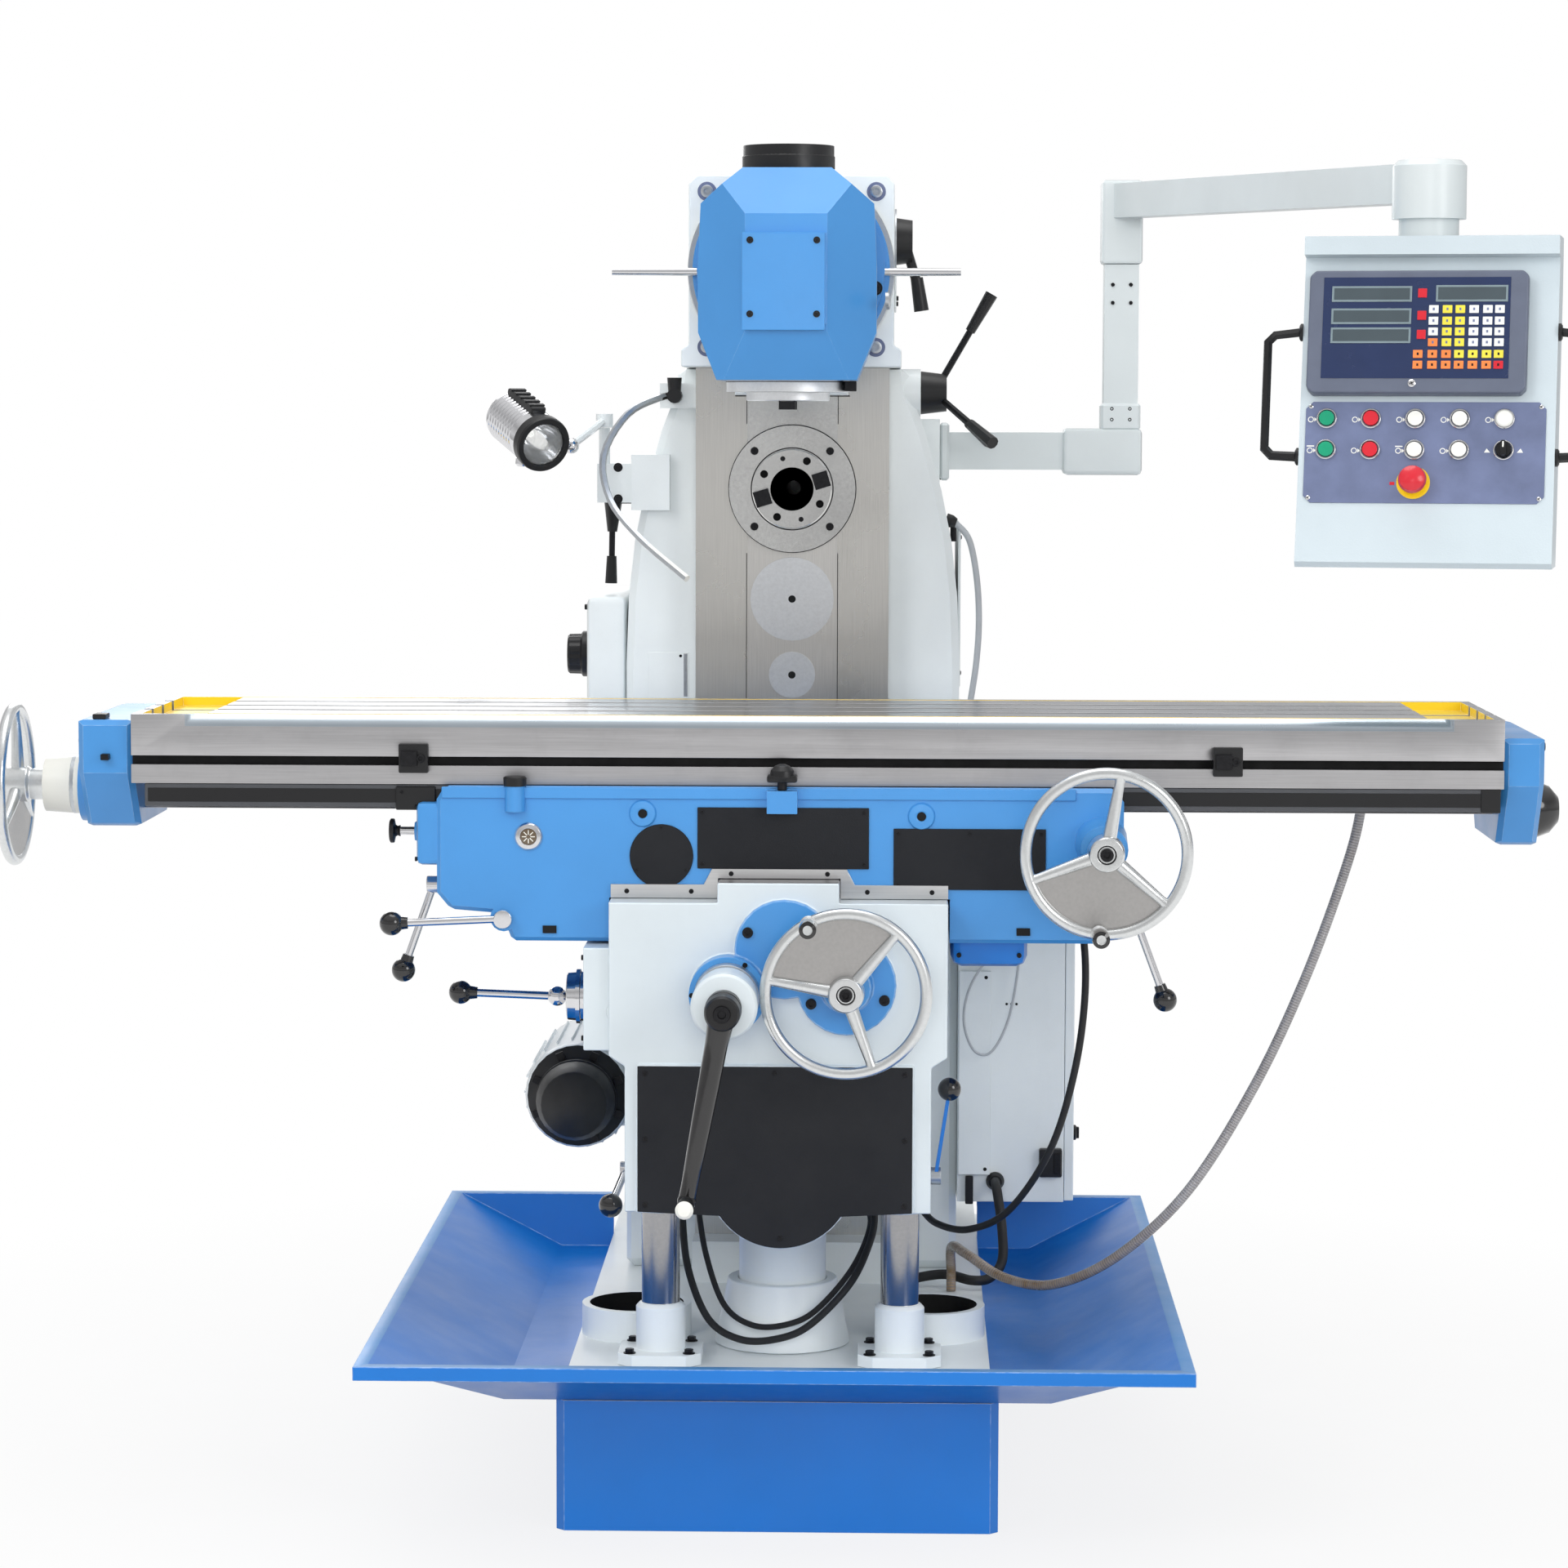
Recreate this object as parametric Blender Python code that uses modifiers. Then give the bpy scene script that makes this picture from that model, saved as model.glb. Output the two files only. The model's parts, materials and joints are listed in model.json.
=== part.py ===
"""Knee-type milling machine with a swivelling vertical head, a horizontal spindle and a control pendant.

Metres. +X is to the right as the operator sees it, +Y runs back from the operator, +Z is up.
The origin is on the floor, under the front face of the column ways, in the plane of the spindles.
"""

import math

import bmesh
import bpy
from mathutils import Matrix, Vector

GAP = 0.0005  # running gap between pieces that touch
FIT = 0.0008  # gap round a slide or a shaft

# Base and chip tray
BASE_HALF_WIDTH = 0.323
BASE_FRONT = -0.80
BASE_BACK = 0.70
BASE_LOWER_TOP = 0.1935
PLINTH_HALF_WIDTH = 0.312
PLINTH_TOP = 0.22
BASE_WALL = 0.03
BASE_ROOF = 0.05
WELL_X = 0.225
WELL_Y = -0.45
WELL_RADIUS = 0.084
WELL_TOP = 0.268
TRAY_HALF_WIDTH = 0.595
TRAY_FRONT = -1.0
TRAY_BACK = 0.39
TRAY_TOP = 0.285
TRAY_FLOOR = 0.194
TRAY_FLOOR_HALF_WIDTH = 0.40
TRAY_SHEET = 0.003
TRAY_RIM = 0.018
TRAY_LIP = 0.02

# Column
COLUMN_BACK = 0.65
COLUMN_TOP = 1.70
COLUMN_HALF_WIDTH = 0.272
WAY_HALF_WIDTH = 0.156
WAY_DEPTH = 0.058
WAY_UNDERCUT = 0.026
COLUMN_WALL = 0.032
SPINDLE_Z = 1.506
CAP_RADIUS = 0.102
NOSE_RADIUS = 0.0643
NOSE_LENGTH = 0.0135
TAPER_RADIUS = 0.0349
TAPER_DEPTH = 0.115
MOTOR_RADIUS = 0.13
MOTOR_LENGTH = 0.36
MOTOR_Z = 1.02
CAPSTAN_Y = 0.095
CAPSTAN_Z = COLUMN_TOP - 0.039
DOVETAIL_FOOT = COLUMN_TOP - 0.045

# Ram and head
RAM_HALF_WIDTH = 0.163
RAM_TOP = COLUMN_TOP + 0.303
RAM_FRONT = -0.10
RAM_BACK = 0.85
HEAD_Z = COLUMN_TOP + 0.172
HEAD_SPINDLE_Y = -0.30
HEAD_HALF_WIDTH = 0.136
HEAD_TOP = COLUMN_TOP + 0.299
HEAD_BOTTOM = COLUMN_TOP - 0.022
HEAD_FRONT = -0.45
FLANGE_RADIUS = 0.16
CAP_TOP = COLUMN_TOP + 0.336
NOSE_Z = COLUMN_TOP - 0.0536

# Knee, saddle and table
KNEE_FRONT = -0.80
KNEE_TOP = 0.924
KNEE_RAIL_TOP = 0.953
KNEE_RAIL_HALF_WIDTH = 0.088
KNEE_HALF_WIDTH = 0.245
KNEE_LOWER_HALF_WIDTH = 0.222
KNEE_BOTTOM = 0.472
POST_X = 0.178
POST_Y = -0.64
POST_RADIUS = 0.0285
POST_TOP = 0.77
SCREW_Y = -0.50
SCREW_RADIUS = 0.025
TUBE_RADIUS = 0.066
TUBE_BORE = 0.035
TUBE_FOOT = 0.135
STRAP = 0.010
SADDLE_HALF_LENGTH = 0.50
SADDLE_FRONT = -0.74
SADDLE_BACK = -0.27
SADDLE_TOP = 1.0865
SADDLE_BOTTOM = 0.860
TABLE_LENGTH = 2.0
TABLE_WIDTH = 0.40
TABLE_X = 0.051
TABLE_Y = -0.52
TABLE_TOP = 1.188
TABLE_THICKNESS = 0.101
SLOT_WIDTH = 0.018
SLOT_PITCH = 0.09
LEAD_Z = 1.0676

# Wheels and levers
WHEEL_RADIUS = 0.123
WHEEL_RIM = 0.0085
BALL = 0.0175
CROSS_WHEEL = (0.099, -0.90, 0.806)
FRONT_WHEEL = (0.467, -0.90, 1.008)
LEFT_WHEEL_X = TABLE_X - TABLE_LENGTH / 2 - 0.211
CRANK = (-0.072, -1.00, 0.795)

# Pendant
POST_CENTRE = (0.542, 0.30)
PENDANT_PIVOT = (0.926, -0.75, 1.8805)
PENDANT_YAW = math.radians(-11)
PENDANT_WIDTH = 0.357
BUTTON_RADIUS = 0.0108
ESTOP_RADIUS = 0.020

MACHINE = "milling_machine"


def clear_scene():
    for obj in list(bpy.data.objects):
        bpy.data.objects.remove(obj, do_unlink=True)


def new_collection(name, hidden):
    collection = bpy.data.collections.new(name)
    bpy.context.scene.collection.children.link(collection)
    collection.hide_render = hidden
    return collection


clear_scene()
PIECES = new_collection(MACHINE, False)
HELPERS = new_collection("cutters", True)


def paint(name, colour, roughness, metallic=0.0):
    made = bpy.data.materials.new(name)
    made.use_nodes = True
    shader = made.node_tree.nodes["Principled BSDF"]
    shader.inputs["Base Color"].default_value = (*colour, 1.0)
    shader.inputs["Roughness"].default_value = roughness
    shader.inputs["Metallic"].default_value = metallic
    made.diffuse_color = (*colour, 1.0)
    return made


BLUE = paint("blue_enamel", (0.09, 0.36, 0.83), 0.35)
DEEP_BLUE = paint("deep_blue_enamel", (0.02, 0.14, 0.56), 0.4)
PALE = paint("pale_enamel", (0.71, 0.77, 0.78), 0.4)
STEEL = paint("ground_steel", (0.50, 0.49, 0.47), 0.25, 1.0)
CHROME = paint("chrome", (0.75, 0.75, 0.76), 0.12, 1.0)
BLACK = paint("black_plastic", (0.02, 0.02, 0.023), 0.45)
RUBBER = paint("black_rubber", (0.015, 0.015, 0.016), 0.6)
CLEAR_HOSE = paint("clear_hose", (0.60, 0.58, 0.55), 0.3)
RED = paint("red_plastic", (0.75, 0.03, 0.03), 0.35)
GREEN = paint("green_plastic", (0.01, 0.45, 0.22), 0.35)
WHITE = paint("white_plastic", (0.85, 0.85, 0.83), 0.35)
ALLOY = paint("cast_alloy", (0.72, 0.72, 0.71), 0.35, 1.0)


def helper(name, mesh):
    obj = bpy.data.objects.new(name, mesh)
    HELPERS.objects.link(obj)
    obj.hide_render = True
    obj.display_type = "WIRE"
    return obj


def from_bmesh(name, bm):
    bmesh.ops.recalc_face_normals(bm, faces=bm.faces)
    mesh = bpy.data.meshes.new(name)
    bm.to_mesh(mesh)
    bm.free()
    return helper(name, mesh)


def box(x0, x1, y0, y1, z0, z1):
    bm = bmesh.new()
    bmesh.ops.create_cube(bm, size=1.0)
    size = Matrix.Diagonal((x1 - x0, y1 - y0, z1 - z0, 1.0))
    middle = Matrix.Translation(((x0 + x1) / 2, (y0 + y1) / 2, (z0 + z1) / 2))
    bmesh.ops.transform(bm, matrix=middle @ size, verts=bm.verts)
    return from_bmesh("box", bm)


def bar(start, end, radius, end_radius=None, segments=24):
    """A round bar or cone between two points."""
    start, end = Vector(start), Vector(end)
    along = end - start
    bm = bmesh.new()
    bmesh.ops.create_cone(
        bm, cap_ends=True, segments=segments, radius1=radius,
        radius2=radius if end_radius is None else end_radius, depth=along.length,
    )
    turn = along.to_track_quat("Z", "Y").to_matrix().to_4x4()
    place = Matrix.Translation((start + end) / 2) @ turn
    bmesh.ops.transform(bm, matrix=place, verts=bm.verts)
    return from_bmesh("bar", bm)


def ball(centre, radius, segments=14, rings=8):
    bm = bmesh.new()
    bmesh.ops.create_uvsphere(bm, u_segments=segments, v_segments=rings, radius=radius)
    bmesh.ops.transform(bm, matrix=Matrix.Translation(centre), verts=bm.verts)
    return from_bmesh("ball", bm)


def mesh_from_curve(name, curve_obj):
    """The curve's mesh in world space; the curve is removed."""
    bpy.context.view_layer.update()
    graph = bpy.context.evaluated_depsgraph_get()
    mesh = bpy.data.meshes.new_from_object(curve_obj.evaluated_get(graph))
    place = curve_obj.matrix_world.copy()
    bpy.data.objects.remove(curve_obj, do_unlink=True)
    bm = bmesh.new()
    bm.from_mesh(mesh)
    bpy.data.meshes.remove(mesh)
    bmesh.ops.remove_doubles(bm, verts=bm.verts, dist=0.00001)
    bmesh.ops.transform(bm, matrix=place, verts=bm.verts)
    return from_bmesh(name, bm)


# Columns are where the outline's own axes point: across, up, and the way that it's thickened.
OUTLINE_AXES = {
    "X": Matrix(((0, 0, 1, 0), (1, 0, 0, 0), (0, 1, 0, 0), (0, 0, 0, 1))),
    "Y": Matrix(((1, 0, 0, 0), (0, 0, -1, 0), (0, 1, 0, 0), (0, 0, 0, 1))),
    "Z": Matrix.Identity(4),
}


def plate(outlines, axis, low, high, place=None):
    """Flat outlines thickened along an axis: (y, z) points for X, (x, z) for Y and (x, y) for Z."""
    if not isinstance(outlines[0][0], (tuple, list)):
        outlines = [outlines]
    curve = bpy.data.curves.new("plate", "CURVE")
    curve.dimensions = "2D"
    curve.fill_mode = "BOTH"
    curve.extrude = (high - low) / 2
    for points in outlines:
        spline = curve.splines.new("POLY")
        spline.points.add(len(points) - 1)
        for point, (u, v) in zip(spline.points, points):
            point.co = (u, v, 0, 1)
        spline.use_cyclic_u = True
    obj = bpy.data.objects.new("plate", curve)
    HELPERS.objects.link(obj)
    middle = (low + high) / 2
    shift = {"X": (middle, 0, 0), "Y": (0, middle, 0), "Z": (0, 0, middle)}[axis]
    obj.matrix_world = (place or Matrix.Identity(4)) @ Matrix.Translation(shift) @ OUTLINE_AXES[axis]
    return mesh_from_curve("plate", obj)


def turned(profile, foot, direction, segments=32, closed=False):
    """A shape turned about an axis from (radius, height) points, listed down its outer side."""
    mesh = bpy.data.meshes.new("turned")
    count = len(profile)
    edges = [(i, i + 1) for i in range(count - 1)] + ([(count - 1, 0)] if closed else [])
    mesh.from_pydata([(r, 0, h) for r, h in profile], edges, [])
    obj = helper("turned", mesh)
    screw = obj.modifiers.new("Turn", "SCREW")
    screw.steps = screw.render_steps = segments
    screw.use_merge_vertices = True
    screw.merge_threshold = 0.0001
    turn = Vector(direction).to_track_quat("Z", "Y").to_matrix().to_4x4()
    obj.matrix_world = Matrix.Translation(foot) @ turn
    return obj


def smooth_route(points, per_span):
    """Points along a smooth curve through the given ones."""
    points = [Vector(p) for p in points]
    ends = [2 * points[0] - points[1], *points, 2 * points[-1] - points[-2]]
    route = []
    for i in range(1, len(ends) - 2):
        a, b, c, d = ends[i - 1 : i + 3]
        for step in range(per_span):
            t = step / per_span
            route.append(
                0.5 * (2 * b + (c - a) * t + (2 * a - 5 * b + 4 * c - d) * t * t
                       + (3 * b - a - 3 * c + d) * t ** 3)
            )
    return [*route, points[-1]]


def tube_curve(name, points, radius, collection, resolution=2):
    curve = bpy.data.curves.new(name, "CURVE")
    curve.dimensions = "3D"
    curve.bevel_depth = radius
    curve.bevel_resolution = resolution
    curve.use_fill_caps = True
    spline = curve.splines.new("POLY")
    spline.points.add(len(points) - 1)
    for point, at in zip(spline.points, points):
        point.co = (*at, 1)
    obj = bpy.data.objects.new(name, curve)
    collection.objects.link(obj)
    return obj


def tube(points, radius, resolution=2):
    return mesh_from_curve("tube", tube_curve("tube", points, radius, HELPERS, resolution))


def cord(name, route, radius, mat, per_span=6):
    obj = tube_curve(name, smooth_route(route, per_span), radius, PIECES)
    obj.data.materials.append(mat)
    return obj


def rounded(obj, width, segments=2, angle=40):
    bevel = obj.modifiers.new("Round", "BEVEL")
    bevel.width = width
    bevel.segments = segments
    bevel.limit_method = "ANGLE"
    bevel.angle_limit = math.radians(angle)
    return obj


OPERATIONS = {"add": "UNION", "cut": "DIFFERENCE", "keep": "INTERSECT"}


def combine(obj, steps):
    for what, other in steps:
        modifier = obj.modifiers.new(what, "BOOLEAN")
        modifier.operation = OPERATIONS[what]
        modifier.solver = "EXACT"
        modifier.object = other
    return obj


def piece(name, body, mat, steps=(), origin=None):
    """A named piece: a body with others added and cut in turn. The origin goes on its joint's axis."""
    HELPERS.objects.unlink(body)
    PIECES.objects.link(body)
    body.name = name
    body.data.name = name
    body.hide_render = False
    body.display_type = "TEXTURED"
    if origin is not None and body.matrix_world == Matrix.Identity(4):
        body.data.transform(Matrix.Translation(-Vector(origin)))
        body.location = origin
    combine(body, steps)
    body.data.materials.clear()
    body.data.materials.append(mat)
    return body


def mirrored(points):
    """An outline from its right half, listed from top to bottom."""
    return [*points, *[(-x, z) for x, z in reversed(points) if x]]



def chamfered(x0, x1, y0, y1, c):
    return [(x0 + c, y0), (x1 - c, y0), (x1, y0 + c), (x1, y1 - c),
            (x1 - c, y1), (x0 + c, y1), (x0, y1 - c), (x0, y0 + c)]


# ---------------------------------------------------------------- base and tray


def base():
    lower = plate(chamfered(-BASE_HALF_WIDTH, BASE_HALF_WIDTH, BASE_FRONT, BASE_BACK, 0.012),
                  "Z", 0, BASE_LOWER_TOP)
    w = PLINTH_HALF_WIDTH
    plinth = plate(chamfered(-w, w, BASE_FRONT + 0.015, BASE_BACK - 0.01, 0.02), "Z", 0.15, PLINTH_TOP)
    steps = [("add", plinth)]
    for side in (-1, 1):
        at = (side * WELL_X, WELL_Y)
        steps.append(("add", bar((*at, 0.20), (*at, WELL_TOP), WELL_RADIUS, segments=32)))
    steps.append(("add", box(-0.158, 0.158, -0.07, -GAP, 0.20, 0.288)))
    pocket = BASE_HALF_WIDTH - BASE_WALL
    roof = PLINTH_TOP - BASE_ROOF
    for y0, y1 in ((BASE_FRONT + BASE_WALL, -0.03), (0.03, BASE_BACK - BASE_WALL)):
        steps.append(("cut", box(-pocket, pocket, y0, y1, -0.01, roof)))
    for side in (-1, 1):
        at = (side * WELL_X, WELL_Y)
        steps.append(("cut", bar((*at, 0.19), (*at, 0.30), WELL_RADIUS - 0.012, segments=32)))
    steps.append(("cut", bar((0, SCREW_Y, 0.15), (0, SCREW_Y, 0.24), TUBE_RADIUS + 0.0045, segments=32)))
    # The strap that the elevating screw stands on
    steps.append(("add", box(-pocket - 0.005, pocket + 0.005, SCREW_Y - 0.06, SCREW_Y + 0.06, 0, STRAP)))
    piece("base", lower, DEEP_BLUE, steps)


def frustum(top_x, bottom_x, top_y, bottom_y, top_z, bottom_z):
    """A four-sided pan shape; the y pairs are (front, back)."""
    bm = bmesh.new()
    rings = []
    for x, (front, back), z in ((bottom_x, bottom_y, bottom_z), (top_x, top_y, top_z)):
        rings.append([bm.verts.new(p) for p in ((-x, front, z), (x, front, z), (x, back, z), (-x, back, z))])
    bm.faces.new(rings[0][::-1])
    bm.faces.new(rings[1])
    for i in range(4):
        j = (i + 1) % 4
        bm.faces.new((rings[0][i], rings[0][j], rings[1][j], rings[1][i]))
    return from_bmesh("frustum", bm)


def chip_tray():
    x, front, back, t = TRAY_HALF_WIDTH, TRAY_FRONT, TRAY_BACK, TRAY_SHEET
    rim = box(-x, x, front, back, TRAY_TOP - TRAY_LIP, TRAY_TOP)
    under = box(-x + t, x - t, front + t, back - t, TRAY_TOP - TRAY_LIP - 0.01, TRAY_TOP - t)
    r = TRAY_RIM
    fx = TRAY_FLOOR_HALF_WIDTH
    outer = frustum(x - r, fx, (front + r, back - r), (BASE_FRONT + 0.002, back - 0.03),
                    TRAY_TOP - 0.001, TRAY_FLOOR)
    # The inner pan runs on past the rim along the same slopes, moved in by the sheet.
    rise = (TRAY_TOP - 0.001 - TRAY_FLOOR)
    more = 0.01
    slope_x, slope_front, slope_back = ((x - r - fx) / rise, (BASE_FRONT + 0.002 - front - r) / rise,
                                        (0.03 - r) / rise)
    k = 1.3 * t
    inner = frustum(x - r - k + slope_x * more, fx - k + slope_x * t,
                    (front + r + k - slope_front * more, back - r - k + slope_back * more),
                    (BASE_FRONT + 0.002 + k - slope_front * t, back - 0.03 - k + slope_back * t),
                    TRAY_TOP - 0.001 + more, TRAY_FLOOR + t)
    hole = PLINTH_HALF_WIDTH + GAP
    opening = box(-hole, hole, BASE_FRONT + 0.015 - GAP, 0.6, 0.1, 0.4)
    piece("chip_tray", rim, DEEP_BLUE,
          [("cut", under), ("add", outer), ("cut", inner), ("cut", opening)])


# ---------------------------------------------------------------- column


def way_outline(grow):
    """The column's dovetail ways in plan, grown by a running gap."""
    w, d = WAY_HALF_WIDTH + grow, WAY_DEPTH
    narrow = w - WAY_UNDERCUT
    return [(-w, -grow), (w, -grow), (w, 0.016 + grow), (narrow, d), (-narrow, d), (-w, 0.016 + grow)]


def dovetail(half_width, low, high, grow):
    """The ram's dovetail, seen from the front: wider at its foot."""
    return [(half_width + grow, low - grow), (half_width - 0.022 + grow, high),
            (-half_width + 0.022 - grow, high), (-half_width - grow, low - grow)]


def column():
    side = [(0.186, COLUMN_TOP), (0.193, DOVETAIL_FOOT), (0.214, 1.60), (0.242, 1.50), (0.258, 1.42),
            (0.268, 1.33), (COLUMN_HALF_WIDTH, 1.22), (COLUMN_HALF_WIDTH, PLINTH_TOP + GAP)]
    body = plate(mirrored(side), "Y", WAY_DEPTH - 0.002, COLUMN_BACK)
    rounded(body, 0.012, 1)
    ways = plate(way_outline(0), "Z", PLINTH_TOP + GAP, COLUMN_TOP)
    w = COLUMN_HALF_WIDTH - COLUMN_WALL
    steps = [("add", ways),
             ("cut", box(-w, w, 0.10, COLUMN_BACK - COLUMN_WALL, 0.10, 1.30)),
             ("cut", box(-0.18, 0.18, 0.13, COLUMN_BACK - COLUMN_WALL, 1.25, 1.40)),
             ("cut", box(-0.073, 0.073, -0.01, 0.004, 0.10, COLUMN_TOP + 0.01)),
             ("add", bar((0, -0.012, SPINDLE_Z), (0, 0.03, SPINDLE_Z), CAP_RADIUS, segments=48)),
             ("add", bar((0, 0.0015, 1.328), (0, 0.02, 1.328), 0.0675, segments=32)),
             ("add", bar((0, 0.0015, 1.205), (0, 0.02, 1.205), 0.0375, segments=24)),
             ("cut", plate(dovetail(0.092, DOVETAIL_FOOT, COLUMN_TOP + 0.01, FIT), "Y", -0.02, 0.7)),
             ("add", bar((0.15, CAPSTAN_Y, CAPSTAN_Z), (0.2065, CAPSTAN_Y, CAPSTAN_Z), 0.0385, segments=24)),
             ("add", box(0.15, 0.240, POST_CENTRE[1] - 0.055, POST_CENTRE[1] + 0.055, 1.510, 1.618)),
             ("add", box(-0.262, -0.20, 0.03, 0.17, 1.47, 1.56)),
             ("add", box(-0.318, -0.250, 0.040, 0.075, 1.482, 1.545)),
             ("add", bar((-0.307, 0.055, 1.53), (-0.307, 0.055, 1.603), 0.009, segments=12)),
             ("add", box(-0.215, -0.15, 0.02, 0.075, 1.635, 1.675)),
             ("cut", bar((0, -0.05, SPINDLE_Z), (0, 0.48, SPINDLE_Z), 0.0505, segments=32))]
    for turn in (45, 135, 225, 315):
        x, z = 0.086 * math.cos(math.radians(turn)), 0.086 * math.sin(math.radians(turn))
        steps.append(("cut", bar((x, -0.03, SPINDLE_Z + z), (x, -0.004, SPINDLE_Z + z), 0.007, segments=10)))
    piece("column", body, PALE, steps)


def main_motor():
    y = COLUMN_BACK + GAP
    length = MOTOR_LENGTH
    shell = turned([(0, length), (0.105, length), (0.118, length - 0.012), (0.118, length - 0.10),
                    (MOTOR_RADIUS, length - 0.10), (MOTOR_RADIUS, 0.02), (0.15, 0.02), (0.15, 0), (0, 0)],
                   (0, y, MOTOR_Z), (0, 1, 0), 32)
    terminal = box(-0.06, 0.06, y + 0.09, y + 0.21, MOTOR_Z + 0.10, MOTOR_Z + 0.175)
    eye = bar((0, y + 0.30, MOTOR_Z + 0.10), (0, y + 0.30, MOTOR_Z + 0.112), 0.01, segments=10)
    piece("main_motor", shell, BLUE, [("add", terminal), ("add", eye)])


def nose_profile(length):
    """An ISO 50 spindle: nose face up, taper bore, shaft down."""
    throat = TAPER_RADIUS - TAPER_DEPTH * 3.5 / 24
    return [(TAPER_RADIUS, 0), (NOSE_RADIUS - 0.0015, 0), (NOSE_RADIUS, -0.0015), (NOSE_RADIUS, -NOSE_LENGTH),
            (0.048, -NOSE_LENGTH), (0.048, -length), (0.012, -length), (0.012, -TAPER_DEPTH - 0.012),
            (throat, -TAPER_DEPTH)]


def nose_key(centre, forward, across, low, high):
    """A drive key standing on the nose face."""
    f, a = Vector(forward), Vector(across)
    third = f.cross(a)
    bm = bmesh.new()
    bmesh.ops.create_cube(bm, size=1.0)
    turn = Matrix((a, third, f)).transposed().to_4x4()
    size = Matrix.Diagonal((high - low, 0.0254, 0.022, 1.0))
    middle = Vector(centre) + a * (low + high) / 2 + f * 0.002
    bmesh.ops.transform(bm, matrix=Matrix.Translation(middle) @ turn @ size, verts=bm.verts)
    return from_bmesh("key", bm)


def horizontal_spindle():
    face = (0, -0.026, SPINDLE_Z)
    shaft = turned(nose_profile(0.42), face, (0, -1, 0), 40, closed=True)
    steps = []
    tilt = math.radians(17)
    for half in (1, -1):
        across = (half * math.cos(tilt), 0, half * math.sin(tilt))
        steps.append(("add", nose_key(face, (0, -1, 0), across, 0.0365, 0.062)))
        for turn in (math.radians(45), math.radians(-45)):
            a = tilt + turn
            x, z = half * 0.0508 * math.cos(a), half * 0.0508 * math.sin(a)
            hole = bar((x, -0.05, SPINDLE_Z + z), (x, -0.018, SPINDLE_Z + z), 0.0065, segments=10)
            steps.append(("cut", hole))
    piece("horizontal_spindle", shaft, STEEL, steps)


def speed_change_box():
    x0, x1 = -0.338, -COLUMN_HALF_WIDTH - GAP
    body = rounded(box(x0, x1, 0.07, 0.43, 0.95, 1.33), 0.014, 2)
    steps = [("add", bar((x0 - 0.004, 0.2, 1.227), (x0 + 0.02, 0.2, 1.227), 0.047, segments=24))]
    piece("speed_change_box", body, PALE, steps)
    dial = turned([(0, 0.035), (0.030, 0.035), (0.033, 0.032), (0.038, 0.010), (0.038, 0), (0, 0)],
                  (x0 - 0.004 - GAP, 0.2, 1.227), (-1, 0, 0), 24)
    piece("speed_dial", dial, BLACK)


def gear_shift_lever():
    y, z = 0.14, 1.497
    hub = bar((-0.2625, y, z), (-0.312, y, z), 0.019, segments=16)
    steps = [("add", bar((-0.298, y, z), (-0.300, y, z - 0.065), 0.017, 0.008, 12)),
             ("add", bar((-0.300, y, z - 0.06), (-0.301, y, z - 0.12), 0.005, segments=8)),
             ("add", bar((-0.301, y, z - 0.105), (-0.302, y, z - 0.150), 0.008, 0.010, 12))]
    piece("gear_shift_lever", hub, BLACK, steps, origin=(-0.28, y, z))


def ram_capstan():
    centre = Vector((0.2065 + GAP, CAPSTAN_Y, CAPSTAN_Z))
    hub = bar(centre, centre + Vector((0.042, 0, 0)), 0.035, 0.030, 20)
    steps = []
    for turn in (90, 210, 330):
        a, open_angle = math.radians(turn), math.radians(60)
        way = Vector((math.cos(open_angle), math.sin(open_angle) * math.cos(a),
                      math.sin(open_angle) * math.sin(a)))
        root = centre + Vector((0.022, 0, 0))
        steps.append(("add", bar(root, root + way * 0.15, 0.0055, segments=8)))
        steps.append(("add", bar(root + way * 0.115, root + way * 0.185, 0.008, 0.0105, 10)))
    piece("ram_capstan", hub, BLACK, steps, origin=centre)


# ---------------------------------------------------------------- ram and head


def ram():
    side = [(0.150, RAM_TOP), (RAM_HALF_WIDTH, RAM_TOP - 0.013), (RAM_HALF_WIDTH, COLUMN_TOP + 0.035),
            (0.175, COLUMN_TOP + 0.028), (0.175, COLUMN_TOP + GAP)]
    body = plate(mirrored(side), "Y", RAM_FRONT, RAM_BACK)
    tail = plate(dovetail(0.092, DOVETAIL_FOOT + 0.001, COLUMN_TOP + 0.01, 0), "Y", RAM_FRONT + 0.03, RAM_BACK)
    steps = [("add", tail),
             ("cut", box(-0.13, 0.13, -0.05, RAM_BACK + 0.01, COLUMN_TOP + 0.05, COLUMN_TOP + 0.27))]
    piece("ram", body, PALE, steps)
    z = COLUMN_TOP + 0.203
    lever = bar((RAM_HALF_WIDTH + GAP, 0.02, z), (0.192, 0.02, z), 0.038, 0.034, 24)
    arm = [("add", bar((0.180, 0.02, z - 0.003), (0.200, 0.02, z - 0.068), 0.008, segments=10)),
           ("add", bar((0.199, 0.02, z - 0.058), (0.207, 0.02, z - 0.111), 0.010, 0.012, 12))]
    piece("head_speed_lever", lever, BLACK, arm, origin=(0.175, 0.02, z))


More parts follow.
